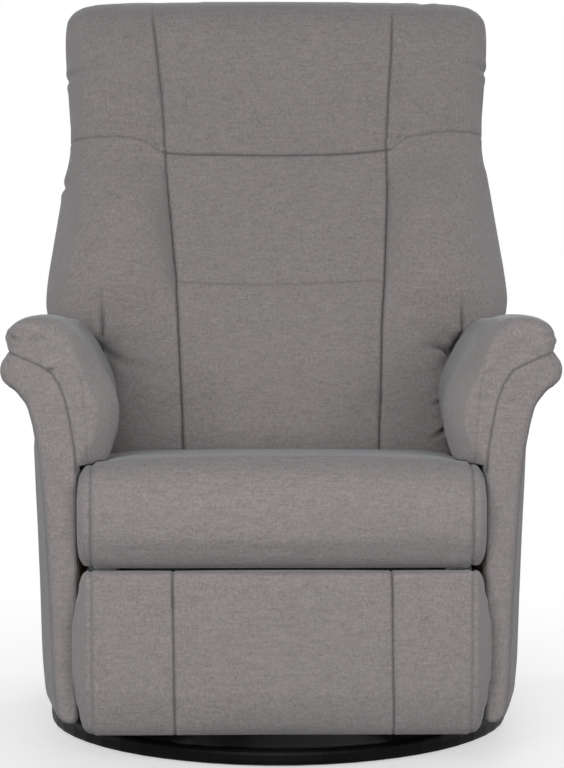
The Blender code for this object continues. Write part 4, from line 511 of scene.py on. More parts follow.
def smooth_by_angle():
    """A geometry node group that shades faces smooth, and keeps sharp edges sharp."""
    tree = bpy.data.node_groups.new("smooth_by_angle", "GeometryNodeTree")
    tree.interface.new_socket("Geometry", in_out="INPUT", socket_type="NodeSocketGeometry")
    tree.interface.new_socket("Geometry", in_out="OUTPUT", socket_type="NodeSocketGeometry")
    enter, leave = tree.nodes.new("NodeGroupInput"), tree.nodes.new("NodeGroupOutput")
    faces = tree.nodes.new("GeometryNodeSetShadeSmooth")
    edges = tree.nodes.new("GeometryNodeSetShadeSmooth")
    edges.domain = "EDGE"
    angle = tree.nodes.new("GeometryNodeInputMeshEdgeAngle")
    below = tree.nodes.new("FunctionNodeCompare")
    below.operation = "LESS_THAN"
    below.inputs["B"].default_value = SHARP
    tree.links.new(angle.outputs["Unsigned Angle"], below.inputs["A"])
    tree.links.new(below.outputs["Result"], edges.inputs["Shade Smooth"])
    tree.links.new(enter.outputs[0], faces.inputs["Geometry"])
    tree.links.new(faces.outputs[0], edges.inputs["Geometry"])
    tree.links.new(edges.outputs[0], leave.inputs[0])
    return tree


# Width of the soft edge on each material
EDGE_SOFTNESS = {"beech_plywood": 0.0012, "black_plastic": 0.0007, "grey_plastic": 0.0008,
                 "black_powder_coat": 0.0005, "zinc_plated_steel": 0.0004, "black_lacquer": 0.0015}


def dress_hard_nodes():
    """Gives the CAD nodes that stay visible their material, soft edges and smooth round faces."""
    shading = smooth_by_angle()
    for name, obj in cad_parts.items():
        if obj.hide_render:
            continue
        slot = obj.data.materials[0].name if obj.data.materials else ""
        kind = next((key for key in HARD if key in slot), None)
        if kind is None:
            print("no look for", name, slot)
            continue
        obj.data.materials.clear()
        obj.data.materials.append(HARD[kind])
        smooth = obj.modifiers.new("smooth_by_angle", "NODES")
        smooth.node_group = shading
        if kind in EDGE_SOFTNESS:
            soft = obj.modifiers.new("soft_edges", "BEVEL")
            soft.width, soft.segments = EDGE_SOFTNESS[kind], 2
            soft.limit_method, soft.angle_limit = "ANGLE", SHARP
            soft.harden_normals = True


# The seat

SEAT_TOP, SEAT_UNDER = 0.468, 0.3003    # its highest point, and the lowest of its front roll
SEAT_SIDE = 0.0031                # how far the cover stands out past the cushion's sides
# Highest the seat's cover may reach at each distance from the middle: lower under the arm pads
UNDER_PADS = curve_through([(0.222, SEAT_TOP), (0.238, 0.4522)])


def make_seat():
    obj = soft_copy("seat_upholstery", ["seat_cushion"], voxel=0.0060)
    relax(obj, rounds=5)
    points = points_of(obj)
    across = np.abs(points[:, 0])
    held = (points[:, 2] < DECK + 0.006) & (points[:, 1] > -0.375) | (across > SEAT_HALF - 0.004)
    held |= np.abs(across - (SEAT_HALF - 0.019)) < SEWN
    inflate(obj, held, cap=0.0025)
    refine(obj)
    points = points_of(obj)
    points[:, 2] = np.minimum(points[:, 2], UNDER_PADS(np.abs(points[:, 0])))
    # The front roll's lower edge is tighter than the cushion's, and curls in under it
    front = falling(points[:, 1], -0.355, 0.02)
    share = np.clip((points[:, 2] - 0.302) / 0.030, 0.0, 1.0)
    tight, loose = SEAT_UNDER + 0.0317 * share ** 1.6, 0.302 + 0.030 * share
    points[:, 2] += front * (tight - loose) * (points[:, 2] < 0.332)
    under = np.clip((0.372 - points[:, 2]) / 0.070, 0.0, 1.0)
    points[:, 1] += 0.0130 * under ** 1.8 * falling(points[:, 1], -0.385, 0.02)
    # Its sides swell out in front of the arm panels
    beside = falling(points[:, 1], -0.300, 0.03) * rising(np.abs(points[:, 0]), 0.272, 0.012)
    points[:, 0] += np.sign(points[:, 0]) * 0.0026 * beside
    move_points(obj, points)
    clip(obj, (-SEAT_HALF - SEAT_SIDE, FRONT - 0.006, SEAT_UNDER),
         (SEAT_HALF + SEAT_SIDE, 0.086, SEAT_TOP))

    def side_seam(p):
        value = np.abs(p[:, 0]) - (SEAT_HALF - 0.0165)
        return np.where((p[:, 2] > DECK + 0.012) | (p[:, 1] < -0.38), value, np.nan)

    seam(obj, side_seam, 0.0024, 0.0036, 0.40, 0.0012)
    return finish_soft(obj, "swivel", ["seat_cushion"])


# The footrest

FOOTREST_HALF = 0.306
FOOTREST_EDGE = 0.2727            # distance of the seam along its edge from the middle
# The face's upright seams, on the sitter's right and left: distance from the middle at each height
FACE_SEAM_RIGHT = curve_through([(0.066, 0.1535), (0.190, 0.1545), (0.300, 0.1560)])
FACE_SEAM_LEFT = curve_through([(0.066, 0.1600), (0.190, 0.1574), (0.300, 0.1560)])


def face_seam(p):
    """Distance outward from the nearer of the two upright seams of the footrest's face."""
    line = np.where(p[:, 0] < 0, -FACE_SEAM_RIGHT(p[:, 2]), FACE_SEAM_LEFT(p[:, 2]))
    return np.where(p[:, 0] < 0, line - p[:, 0], p[:, 0] - line)


def edge_line(p):
    """Distance outward from the seam along the footrest's edge."""
    return np.abs(p[:, 0]) - FOOTREST_EDGE


def make_footrest():
    obj = soft_copy("footrest_upholstery", ["footrest_cushion"], voxel=0.0050)
    relax(obj, rounds=4)
    points = points_of(obj)
    held = (points[:, 1] > -0.385) | (np.abs(face_seam(points)) < SEWN)
    held |= np.abs(edge_line(points)) < SEWN
    inflate(obj, held, cap=0.005)
    refine(obj)
    points = points_of(obj)
    # The upper lip is tighter than the cushion's, and the lower edge hangs down and curls in
    front = falling(points[:, 1], -0.375, 0.015)
    share = np.clip((0.2982 - points[:, 2]) / 0.030, 0.0, 1.0)
    lift = 0.0013 + 0.030 * share - 0.0313 * share ** 1.6
    points[:, 2] += front * lift * (points[:, 2] > 0.2682)
    points[:, 2] -= 0.0040 * front * falling(points[:, 2], 0.095, 0.025)
    under = np.clip((0.132 - points[:, 2]) / 0.068, 0.0, 1.0)
    points[:, 1] += 0.0150 * under ** 1.7 * falling(points[:, 1], -0.385, 0.02)
    move_points(obj, points)
    clip(obj, (-FOOTREST_HALF, FRONT - 0.008, 0.0590), (FOOTREST_HALF, 1.0, 0.2995))
    seam(obj, lambda p: np.where(p[:, 1] < -0.385, face_seam(p), np.nan),
         0.0018, 0.0021, 0.85, 0.0003)
    seam(obj, lambda p: np.where(p[:, 1] < -0.380, edge_line(p), np.nan),
         0.0014, 0.0030, 0.12, 0.0012)
    return finish_soft(obj, "footrest", ["footrest_cushion"])


# The back

def to_back(points):
    """(t, n) of world points: up along the back, and forward out of it."""
    y, z = points[:, 1] - BACK_FOOT[0], points[:, 2] - BACK_FOOT[1]
    return (y * math.sin(LEAN) + z * math.cos(LEAN)), (-y * math.cos(LEAN) + z * math.sin(LEAN))


def from_back(t, n):
    """Y and Z of a point of the back's own frame."""
    return (BACK_FOOT[0] + t * math.sin(LEAN) - n * math.cos(LEAN),
            BACK_FOOT[1] + t * math.cos(LEAN) + n * math.sin(LEAN))


# The back's upright seams, on the sitter's right and left: distance from the middle at each t
SIDE_SEAM_RIGHT = curve_through([(0.018, 0.1534), (0.096, 0.1560), (0.178, 0.1595), (0.289, 0.1643),
                                 (0.380, 0.1722), (0.474, 0.1812), (0.523, 0.1847), (0.587, 0.1885),
                                 (0.681, 0.1979), (0.759, 0.2081)])
SIDE_SEAM_LEFT = curve_through([(0.017, 0.1644), (0.161, 0.1672), (0.227, 0.1691), (0.360, 0.1758),
                                (0.452, 0.1801), (0.528, 0.1802), (0.604, 0.1847), (0.672, 0.1890),
                                (0.758, 0.1931)])
# Its seams across: t at each x
NECK_LINE = curve_through((
    (-0.400, 0.5320), (-0.2665, 0.5320), (-0.2418, 0.5300), (-0.2254, 0.5264), (-0.2122, 0.5213),
    (-0.2006, 0.5129), (-0.1924, 0.5073), (-0.1792, 0.5045), (-0.1512, 0.5019), (-0.1100, 0.5011),
    (0.0, 0.4995), (0.0926, 0.5011), (0.1339, 0.5045), (0.1619, 0.5070), (0.1895, 0.5110),
    (0.2000, 0.5200), (0.2145, 0.5305), (0.2365, 0.5335), (0.2580, 0.5370), (0.2807, 0.5410),
    (0.4000, 0.5420)))
LUMBAR_LINE = curve_through([(-0.160, 0.2850), (-0.0826, 0.2800), (0.0, 0.2790), (0.0373, 0.2795),
                             (0.1056, 0.2830), (0.1683, 0.2880)])
ARM_PASS = 0.0038                 # drawn in where the back swings down between the arms
NECK_FILL = 0.030                 # reach of the bridge over the gap between the cushions
# Lower and upper ends of the bend between back and head section
NECK_BEND = tuple((0, *from_back(NECK + offset, 0.0)) for offset in (-0.035, 0.035))


def beyond_side_seam(p, t):
    """Distance outward from the nearer upright seam of the back."""
    return np.where(p[:, 0] < 0, -p[:, 0] - SIDE_SEAM_RIGHT(t), p[:, 0] - SIDE_SEAM_LEFT(t))


def bridge_neck(obj):
    """One cover runs over both cushions, so it bridges the gap between them."""
    t, n = to_back(points_of(obj))
    open_here = falling(np.abs(t - NECK), NECK_FILL, 0.008)
    open_here *= smooth_step((n - PARTING - 0.012) / 0.015)
    relax(obj, rounds=40, hold=1.0 - open_here, back=0.0)


# Folds as points (x, t) along the line, depth, width and shade
BACK_FOLDS = (
    ([(-0.286, 0.268), (-0.285, 0.228), (-0.284, 0.198)], 0.0070, 0.0040, 0.85),
    ([(-0.218, 0.150), (-0.244, 0.155), (-0.292, 0.182)], 0.0075, 0.0105, 0.95),
    ([(-0.264, 0.100), (-0.268, 0.130), (-0.276, 0.165)], 0.0035, 0.0120, 0.45),
    ([(0.300, 0.262), (0.3005, 0.227), (0.3005, 0.198)], 0.0070, 0.0040, 0.80),
    ([(0.236, 0.181), (0.262, 0.178), (0.296, 0.172)], 0.0140, 0.0055, 1.30),
    ([(0.258, 0.140), (0.276, 0.160), (0.300, 0.190)], 0.0100, 0.0095, 1.00),
    ([(0.2512, 0.0856), (0.2620, 0.0895), (0.2800, 0.0960)], 0.0110, 0.0040, 1.50),
    ([(0.2506, 0.0332), (0.2620, 0.0400), (0.2800, 0.0520)], 0.0110, 0.0040, 1.50),
    ([(-0.2122, 0.5500), (-0.2060, 0.5360), (-0.1990, 0.5200)], 0.0032, 0.0034, 0.22),
    ([(-0.1960, 0.5480), (-0.1945, 0.5340), (-0.1920, 0.5180)], 0.0026, 0.0032, 0.18),
    ([(0.1890, 0.5560), (0.1880, 0.5400), (0.1880, 0.5200)], 0.0032, 0.0034, 0.26),
    ([(0.2080, 0.5560), (0.2050, 0.5420), (0.2000, 0.5280)], 0.0026, 0.0034, 0.18),
    ([(-0.300, 0.6400), (-0.318, 0.6390), (-0.345, 0.6380)], 0.0040, 0.0060, 0.04),
    ([(-0.310, 0.4620), (-0.330, 0.4590), (-0.360, 0.4560)], 0.0040, 0.0065, 0.04),
    ([(0.300, 0.6560), (0.318, 0.6530), (0.345, 0.6510)], 0.0040, 0.0060, 0.04),
    ([(0.225, 0.7660), (0.240, 0.7720), (0.255, 0.7800)], 0.0024, 0.0060, 0.03),
)


def make_back():
    obj = soft_copy("back_upholstery", ["back_cushion", "headrest_cushion"], voxel=0.0062)
    relax(obj, rounds=6)
    bridge_neck(obj)
    points = points_of(obj)
    t, n = to_back(points)
    across = np.abs(points[:, 0])
    held = (n < PARTING + 0.020) | (t < 0.020) | ((t < 0.16) & (across > 0.270))
    held |= np.abs(beyond_side_seam(points, t)) < SEWN
    held |= np.abs(t - NECK_LINE(points[:, 0])) < SEWN
    inflate(obj, held, cap=0.008)
    refine(obj)
    points = points_of(obj)
    t, n = to_back(points)
    passing = falling(t, 0.185, 0.020) * falling(n, -0.026, 0.020)
    passing *= rising(np.abs(points[:, 0]), 0.282, 0.006)
    points[:, 0] -= np.sign(points[:, 0]) * ARM_PASS * passing
    move_points(obj, points)

    def side_seams(p):
        t, n = to_back(p)
        return np.where(n > -0.050, beyond_side_seam(p, t), np.nan)

    def side_seam_strength(p):
        t, _ = to_back(p)
        return (0.85 + 0.25 * falling(t, 0.50, 0.10)) * (0.25 + 0.75 * falling(t, 0.755, 0.05))

    def neck_seam(p):
        t, n = to_back(p)
        sewn = (n > -0.085) & (beyond_side_seam(p, t) < SEWN)
        return np.where(sewn, t - NECK_LINE(p[:, 0]), np.nan)

    def neck_creases(p):
        t, n = to_back(p)
        creased = (n > -0.090) & (beyond_side_seam(p, t) > SEWN)
        return np.where(creased, t - NECK_LINE(p[:, 0]), np.nan)

    def lumbar_seam(p):
        t, n = to_back(p)
        sewn = (n > -0.020) & (beyond_side_seam(p, t) < -0.002)
        return np.where(sewn, t - LUMBAR_LINE(p[:, 0]), np.nan)

    seam(obj, side_seams, 0.0026, 0.0030, 0.95, 0.0006, side_seam_strength)
    seam(obj, neck_seam, 0.0020, 0.0026, 0.8, 0.0006)
    seam(obj, neck_creases, 0.0013, 0.0028, 0.38, 0.0004)
    seam(obj, lumbar_seam, 0.0012, 0.0026, 0.30, 0.0005)

    def front_plane(p):
        t, n = to_back(p)
        return np.stack([p[:, 0], t], axis=1), rising(n, -0.085, 0.03)

    for shape in BACK_FOLDS:
        fold(obj, front_plane, *shape)
    return finish_soft(obj, "recline", ["back_cushion", "headrest_cushion"],
                       blend_to=("headrest", *NECK_BEND))


def make_rear_cover():
    obj = soft_copy("back_rear_cover", ["back_shell", "headrest_shell"], voxel=0.0075)
    relax(obj, rounds=6)
    refine(obj)

    def neck_seam(p):
        t, n = to_back(p)
        return np.where(n < -0.090, t - NECK, np.nan)

    seam(obj, neck_seam, 0.0030, 0.0040, 0.8, 0.0010)
    return finish_soft(obj, "recline", ["back_shell", "headrest_shell"],
                       blend_to=("headrest", *NECK_BEND))


# The arms

# The seam between pad and panel as (distance out from the arm's inner face, height)
ARM_SEAM = ((0.1150, 0.6150), (0.0950, 0.6085), (0.0730, 0.6000), (0.0550, 0.5920),
            (0.0369, 0.5825), (0.0239, 0.5638), (0.0147, 0.5380), (0.0081, 0.5060),
            (0.0020, 0.4670), (0.0002, 0.4360))
ARM_FALL = 0.008                  # how much lower that seam lies at the pads' rear end
SEAM_FILL = 0.0030                # half the thickness of what fills the gap behind the seam
# Where the pad's cover folds in under it and follows the seat's edge, as (distance out, height)
PAD_LIP = ((-0.0290, 0.4720), (-0.0270, 0.4545), (-0.0195, 0.4465), (-0.0115, 0.4410),
           (-0.0070, 0.4345), (-0.0040, 0.4270), (-0.0016, 0.4200), (0.0060, 0.4200),
           (0.0060, 0.4720))
PAD_DRAW = 0.36                   # share by which a pad's inner bulge is drawn in behind its front
PAD_LEAN = 0.0135                 # how far the upper part of that bulge is moved outward
PAD_UNDERSIDE = 0.4534            # a pad's lowest point over the seat before it settles
PAD_SINK = 0.0080                 # how far its underside may settle onto the seat
PAD_GAP = 0.0013                  # what stays open between them
CORNER_ROOM = 0.0015              # how far a panel's rear upper corner is moved outward
ARM_VOXEL = 0.0050
EDGE_RING = 0.050                 # where an arm has its full outline, behind its front
# Radius of the rounding behind a pad's front at each distance out, and a panel's at each height
PAD_ROUND = curve_through([(-0.03, 0.041), (0.03, 0.034), (0.06, 0.024), (0.10, 0.018)])
PANEL_ROUND = curve_through([(0.50, 0.007), (0.56, 0.014), (0.61, 0.018)])
# Distance out of the soft line inside a pad's front at each height
INNER_LINE = curve_through([(0.44, -0.0165), (0.50, -0.0135), (0.56, -0.0090), (0.60, 0.0020)])


def on_arm(points, side):
    """Distance out from the arm's inner face, and height as it would be at the arm's front."""
    fall = ARM_FALL * rising(points[:, 1], ARM_FRONT, PAD_REAR - ARM_FRONT)
    return side * points[:, 0] - ARM_INNER, points[:, 2] + fall


def above_seam(outward, height):
    """Signed distance from the arm's seam, positive on the pad's side."""
    best, signed = np.ones(len(outward)), np.zeros(len(outward))
    flat = np.stack([outward, height], axis=1)
    for start, end in zip(ARM_SEAM, ARM_SEAM[1:]):
        _, reach = along_line(flat, start, end)
        along, offset = np.array(end) - np.array(start), flat - np.array(start)
        side = np.where(along[0] * offset[:, 1] - along[1] * offset[:, 0] < 0, 1.0, -1.0)
        signed = np.where(reach < best, side * reach, signed)
        best = np.minimum(best, reach)
    return signed


def prism(side, outline, front, rear, fall=0.0):
    """A closed bar along Y. Its outline is (distance out, height), lower by fall at the rear."""
    made = bmesh.new()
    ends = [[made.verts.new((side * (ARM_INNER + x), y, z - drop)) for x, z in outline]
            for y, drop in ((front, 0.0), (rear, fall))]
    made.faces.new(ends[0])
    made.faces.new(ends[1][::-1])
    for i in range(len(outline)):
        j = (i + 1) % len(outline)
        made.faces.new((ends[0][i], ends[1][i], ends[1][j], ends[0][j]))
    bmesh.ops.recalc_face_normals(made, faces=made.faces)
    mesh = bpy.data.meshes.new("filler")
    made.to_mesh(mesh)
    made.free()
    return mesh


def seam_fillers(side):
    """Closed bars along the seam and under the pad, so that pad and panel become one cover."""
    bars = []
    for (x0, z0), (x1, z1) in zip(ARM_SEAM[1:], ARM_SEAM[2:]):
        length = math.hypot(x1 - x0, z1 - z0)
        nx, nz = -(z1 - z0) / length * SEAM_FILL, (x1 - x0) / length * SEAM_FILL
        outline = ((x0 + nx, z0 + nz), (x1 + nx, z1 + nz), (x1 - nx, z1 - nz), (x0 - nx, z0 - nz))
        bars.append(prism(side, outline, ARM_FRONT + 0.0015, PAD_REAR - 0.004, ARM_FALL))
    bars.append(prism(side, PAD_LIP, ARM_FRONT + 0.004, PAD_REAR - 0.010))
    return bars


def round_front(obj, front, radius_of):
    """Moves the front face's rim back along a soft corner, and keeps the middle full.

    Radius_of gives how far in the corner starts, how deep it is, and the power of its curve.
    """
    points = points_of(obj)
    ring = points[np.abs(points[:, 1] - front - EDGE_RING) < 0.004]
    tree = tree_of([(x, 0.0, z) for x, _, z in ring])
    radius, depth, power = radius_of(points)
    for i in np.nonzero(points[:, 1] < front + EDGE_RING + 0.002)[0]:
        near = tree.find((points[i, 0], 0.0, points[i, 2]))[2]
        inside = 1.0 - min(near / radius[i], 1.0)
        back = depth[i] * (1.0 - (1.0 - inside ** power[i]) ** (1.0 / power[i]))
        points[i, 1] = max(points[i, 1], front + back)
    move_points(obj, points)


def top_of(obj):
    """The upper face of a cover, to look up its height."""
    points, normals = points_of(obj), normals_of(obj)
    upper = points[normals[:, 2] > 0.3]
    tree = tree_of([(x, y, 0.0) for x, y, _ in upper])
    return lambda x, y: upper[tree.find((x, y, 0.0))[1], 2]


def settle(points, chosen, seat_top):
    """Lets the front of a pad's underside down onto the seat."""
    for i in chosen:
        x, y, z = points[i]
        share = float(falling(z, 0.478, 0.020) * falling(y, -0.200, 0.080))
        if share > 0:
            points[i, 2] += (max(seat_top(x, y) + PAD_GAP, z - PAD_SINK) - z) * share


def make_pad(node, side):
    """The pad's shape alone, fuller at its front than the solid and slimmer behind it."""
    pad = soft_copy("pad_shape", [node], voxel=0.0060)
    relax(pad, rounds=2)
    points = points_of(pad)
    held = (points[:, 1] > PAD_REAR - 0.012) | (side * points[:, 0] > ARM_INNER + 0.070)
    inflate(pad, held, cap=0.005)
    points = points_of(pad)
    outward, _ = on_arm(points, side)
    draw = PAD_DRAW * smooth_step((points[:, 1] - ARM_FRONT - 0.030) / 0.240)
    points[:, 0] -= side * outward * (draw * smooth_step(-outward / 0.020))
    points[:, 2] -= 0.0040 * falling(points[:, 2], 0.480, 0.018) * (outward < -0.0005)
    _, height = on_arm(points, side)
    lean = side * PAD_LEAN * rising(height, 0.520, 0.07)
    points[:, 0] += lean * falling(outward, 0.040, 0.045)
    points[:, 2] += 0.0040 * rising(height, 0.600, 0.04)
    move_points(pad, points)
    return pad


# Folds as points (x, z) along the line, depth, width and shade
ARM_FOLDS = {
    "right": (
        ([(-0.3610, 0.6223), (-0.3760, 0.6268), (-0.3880, 0.6330)], 0.0045, 0.0032, 0.55),
        ([(-0.3640, 0.6300), (-0.3700, 0.6330), (-0.3720, 0.6420)], 0.0025, 0.0040, 0.15),
        ([(-0.3131, 0.5880), (-0.3230, 0.5865), (-0.3318, 0.5835)], 0.0025, 0.0024, 0.60),
        ([(-0.3330, 0.6330), (-0.3450, 0.6300), (-0.3560, 0.6240)], 0.0020, 0.0060, 0.10),
        ([(-0.3450, 0.5700), (-0.3380, 0.5780), (-0.3300, 0.5830)], 0.0018, 0.0050, 0.10),
    ),
    "left": (
        ([(0.3680, 0.6540), (0.3800, 0.6490), (0.3930, 0.6380)], 0.0035, 0.0036, 0.35),
        ([(0.3700, 0.6360), (0.3820, 0.6330), (0.3950, 0.6310)], 0.0030, 0.0040, 0.30),
        ([(0.3400, 0.6100), (0.3560, 0.6050), (0.3700, 0.6020)], 0.0018, 0.0050, 0.10),
    ),
}


def make_arm(side_name, side, seat_top):
    """One cover over pad and panel. Side is 1 on the sitter's left and -1 on the right."""
    nodes = ["arm_pad_" + side_name, "arm_panel_" + side_name]
    pad = make_pad(nodes[0], side)
    others = [pad.data] + seam_fillers(side)
    obj = soft_copy("arm_upholstery_" + side_name, nodes[1:], ARM_VOXEL, others)
    bpy.data.objects.remove(pad)

    def rounding(points):
        outward, height = on_arm(points, side)
        pad_share = smooth_step(above_seam(outward, height) / 0.010 + 0.5)
        radius = PANEL_ROUND(height) * (1 - pad_share) + PAD_ROUND(outward) * pad_share
        inner = pad_share * falling(outward, 0.010, 0.030)
        return radius, radius * (1.0 + 0.15 * inner), 2.0 - 0.55 * inner

    round_front(obj, ARM_FRONT, rounding)
    even_out(obj, ARM_VOXEL)
    relax(obj, rounds=4)
    refine(obj)
    points = points_of(obj)
    over_seat = side * points[:, 0] < ARM_INNER - 0.003
    over_seat &= (points[:, 1] < 0.09) & (points[:, 2] < 0.480)
    points[over_seat, 2] = np.maximum(points[over_seat, 2], PAD_UNDERSIDE)
    settle(points, np.nonzero(over_seat)[0], seat_top)
    # The panel's rear upper corner leaves room for the back as it swings down
    corner = rising(points[:, 1], 0.262, 0.02)
    corner *= smooth_step((0.010 - side * points[:, 0] + ARM_INNER) / 0.006)
    points[:, 0] += side * CORNER_ROOM * corner * (points[:, 2] > 0.43)
    move_points(obj, points)

    def pad_seam(p):
        outward, height = on_arm(p, side)
        near = (p[:, 1] < PAD_REAR - 0.002) & (outward > -0.012)
        return np.where(near, above_seam(outward, height), np.nan)

    def edge_seam(p):
        outward, _ = on_arm(p, side)
        sewn = (outward > 0.012) & (p[:, 2] < 0.56)
        return np.where(sewn, p[:, 1] - (ARM_FRONT + 0.008), np.nan)

    def inner_seam(p):
        outward, _ = on_arm(p, side)
        sewn = (p[:, 1] < ARM_FRONT + 0.030) & (p[:, 2] > 0.44) & (p[:, 2] < 0.585)
        return np.where(sewn, outward - INNER_LINE(p[:, 2]), np.nan)

    seam(obj, pad_seam, 0.0012, 0.0022, 0.65, 0.0006)
    seam(obj, edge_seam, 0.0010, 0.0024, 0.40, 0.0006)
    carve(obj, inner_seam, 0.0007, 0.0030, 0.20, 0.0004)

    def front_plane(p):
        return p[:, [0, 2]], falling(p[:, 1], ARM_FRONT + 0.040, 0.010)

    for shape in ARM_FOLDS[side_name]:
        fold(obj, front_plane, *shape)
    return finish_soft(obj, "swivel", nodes)


def make_rear_panel():
    """The rear panel's cover, a little fuller in its middle than at its rim."""
    obj = soft_copy("rear_panel_cover", ["rear_panel"], voxel=0.0035)
    relax(obj, rounds=2)
    points = points_of(obj)
    low, high = points.min(axis=0), points.max(axis=0)
    across = 1 - (points[:, 0] / high[0]) ** 6
    up = 1 - ((points[:, 2] - (low[2] + high[2]) / 2) / ((high[2] - low[2]) / 2)) ** 6
    points[:, 1] += 0.004 * across * up * rising(points[:, 1], low[1] + 0.008, 0.006)
    move_points(obj, points)
    return finish_soft(obj, "swivel", ["rear_panel"])


# Floor, light and camera

FLOOR_SIDES, FLOOR_REACH, FLOOR_LEVEL = 64, 7.0, -0.0002
FLOOR_FADE = (0.55, 1.30)         # from where to where the shadow fades, out from the middle
FLOOR_BOUNCE = (0.14, 0.14, 0.14, 1)
WHITE = (1, 1, 1, 1)
# Each light's name, place, what it faces, size and power
LIGHTS = (
    ("front_softbox", (-0.7, -3.7, 1.35), (0.0, 0.0, 0.6), (1.8, 1.8), 75.0),
    ("front_fill", (0.9, -3.7, 1.05), (0.0, 0.0, 0.6), (1.6, 1.4), 40.0),
    ("overhead", (0.0, 0.2, 3.2), (0.0, 0.0, 0.5), (2.6, 2.6), 4.0),
    ("rear_fill", (0.6, 3.6, 1.9), (0.0, 0.0, 0.6), (2.4, 2.0), 66.0),
    ("left_rim", (3.2, 0.9, 1.0), (0.0, 0.2, 0.5), (1.2, 1.8), 26.0),
    ("right_rim", (-3.2, 0.9, 1.0), (0.0, 0.2, 0.5), (1.2, 1.8), 26.0),
)
AMBIENT = 0.22                    # strength of the world's light
CAMERA_TURN, CAMERA_PITCH = math.radians(0.8), math.radians(5.11)
# The camera's distance from the upright line it turns about, that line's Y, and its own height
CAMERA_REACH, CAMERA_Y, CAMERA_HEIGHT = 3.6, -0.4, 0.888
FOCAL, PICTURE_HEIGHT = 2547.0, 768    # focal length and picture height, both in pixels
SENSOR = 36.0


def seen_directly(tree):
    """1 for camera, glossy and transmission rays."""
    path = tree.nodes.new("ShaderNodeLightPath")
    first, second = tree.nodes.new("ShaderNodeMath"), tree.nodes.new("ShaderNodeMath")
    first.operation = second.operation = "MAXIMUM"
    tree.links.new(path.outputs["Is Camera Ray"], first.inputs[0])
    tree.links.new(path.outputs["Is Glossy Ray"], first.inputs[1])
    tree.links.new(first.outputs[0], second.inputs[0])
    tree.links.new(path.outputs["Is Transmission Ray"], second.inputs[1])
    return second.outputs[0]


def floor_material():
    """Pale and lit near the object, so that its shadow shows, and plain white further out.

    Light that bounces off the floor meets a plain grey instead.
    """
    made = bpy.data.materials.new("pale_floor")
    made.use_nodes = True
    tree = made.node_tree
    tree.nodes.remove(tree.nodes["Principled BSDF"])
    lit = tree.nodes.new("ShaderNodeBsdfDiffuse")
    lit.inputs["Color"].default_value = (0.60, 0.60, 0.60, 1)
    glow = tree.nodes.new("ShaderNodeEmission")
    glow.inputs["Strength"].default_value = 0.52
    shown = tree.nodes.new("ShaderNodeAddShader")
    tree.links.new(lit.outputs[0], shown.inputs[0])
    tree.links.new(glow.outputs[0], shown.inputs[1])
    white = tree.nodes.new("ShaderNodeEmission")
    white.inputs["Strength"].default_value = 1.0
    at = tree.nodes.new("ShaderNodeTexCoord")
    reach = tree.nodes.new("ShaderNodeVectorMath")
    reach.operation = "LENGTH"
    tree.links.new(at.outputs["Object"], reach.inputs[0])
    far = tree.nodes.new("ShaderNodeMapRange")
    far.inputs["From Min"].default_value, far.inputs["From Max"].default_value = FLOOR_FADE
    tree.links.new(reach.outputs["Value"], far.inputs["Value"])
    seen = tree.nodes.new("ShaderNodeMixShader")
    tree.links.new(far.outputs[0], seen.inputs[0])
    tree.links.new(shown.outputs[0], seen.inputs[1])
    tree.links.new(white.outputs[0], seen.inputs[2])
    plain = tree.nodes.new("ShaderNodeBsdfDiffuse")
    plain.inputs["Color"].default_value = FLOOR_BOUNCE
    choose = tree.nodes.new("ShaderNodeMixShader")
    tree.links.new(seen_directly(tree), choose.inputs[0])
    tree.links.new(plain.outputs[0], choose.inputs[1])
    tree.links.new(seen.outputs[0], choose.inputs[2])
    tree.links.new(choose.outputs[0], tree.nodes["Material Output"].inputs["Surface"])
    return made


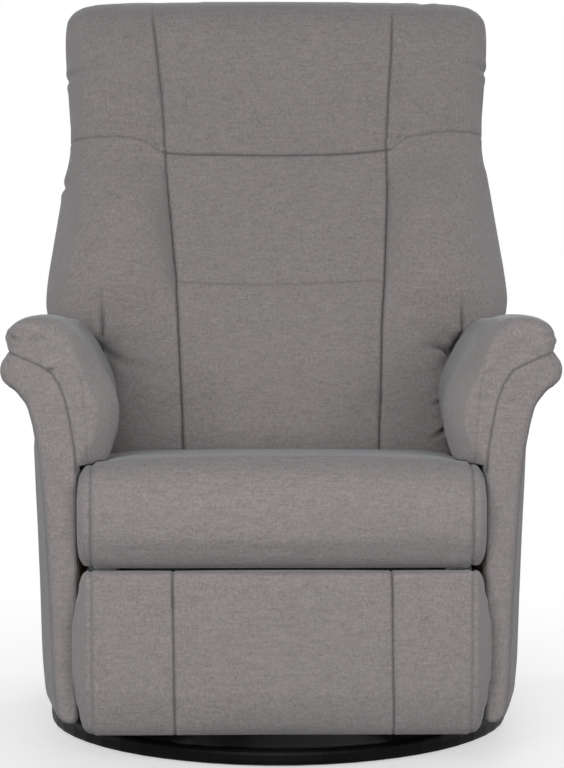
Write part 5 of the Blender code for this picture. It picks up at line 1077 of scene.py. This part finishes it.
def make_stage():
    mesh = bpy.data.meshes.new("studio_floor")
    turns = [math.tau * i / FLOOR_SIDES for i in range(FLOOR_SIDES)]
    corners = [(FLOOR_REACH * math.cos(a), FLOOR_REACH * math.sin(a), FLOOR_LEVEL) for a in turns]
    mesh.from_pydata(corners, [], [tuple(range(FLOOR_SIDES))])
    mesh.materials.append(floor_material())
    floor = bpy.data.objects.new("studio_floor", mesh)
    bpy.context.scene.collection.objects.link(floor)


def area_light(name, place, target, size, power):
    data = bpy.data.lights.new(name, "AREA")
    data.shape = "RECTANGLE"
    data.size, data.size_y = size
    data.energy = power
    obj = bpy.data.objects.new(name, data)
    bpy.context.scene.collection.objects.link(obj)
    obj.location = place
    obj.rotation_euler = (Vector(target) - Vector(place)).to_track_quat("-Z", "Y").to_euler()


def make_light():
    world = bpy.data.worlds.new("studio")
    bpy.context.scene.world = world
    world.use_nodes = True
    tree = world.node_tree
    plain = tree.nodes["Background"]
    plain.inputs[0].default_value = WHITE
    plain.inputs[1].default_value = AMBIENT
    white = tree.nodes.new("ShaderNodeBackground")
    white.inputs[0].default_value = WHITE
    white.inputs[1].default_value = 1.0
    choose = tree.nodes.new("ShaderNodeMixShader")
    tree.links.new(seen_directly(tree), choose.inputs[0])
    tree.links.new(plain.outputs[0], choose.inputs[1])
    tree.links.new(white.outputs[0], choose.inputs[2])
    tree.links.new(choose.outputs[0], tree.nodes["World Output"].inputs["Surface"])
    for light in LIGHTS:
        area_light(*light)


def make_camera():
    data = bpy.data.cameras.new("camera")
    data.lens = FOCAL / PICTURE_HEIGHT * SENSOR
    data.sensor_width = SENSOR
    data.clip_end = 100.0
    obj = bpy.data.objects.new("camera", data)
    bpy.context.scene.collection.objects.link(obj)
    aside, away = CAMERA_REACH * math.sin(CAMERA_TURN), CAMERA_REACH * math.cos(CAMERA_TURN)
    obj.location = (-aside, CAMERA_Y - away, CAMERA_HEIGHT)
    obj.rotation_euler = (math.pi / 2 - CAMERA_PITCH, 0.0, -CAMERA_TURN)
    bpy.context.scene.camera = obj


seat_top = top_of(make_seat())
make_footrest()
make_back()
make_rear_cover()
make_arm("left", 1, seat_top)
make_arm("right", -1, seat_top)
make_rear_panel()
dress_hard_nodes()
make_stage()
make_light()
make_camera()
bpy.context.scene.view_settings.view_transform = "Standard"
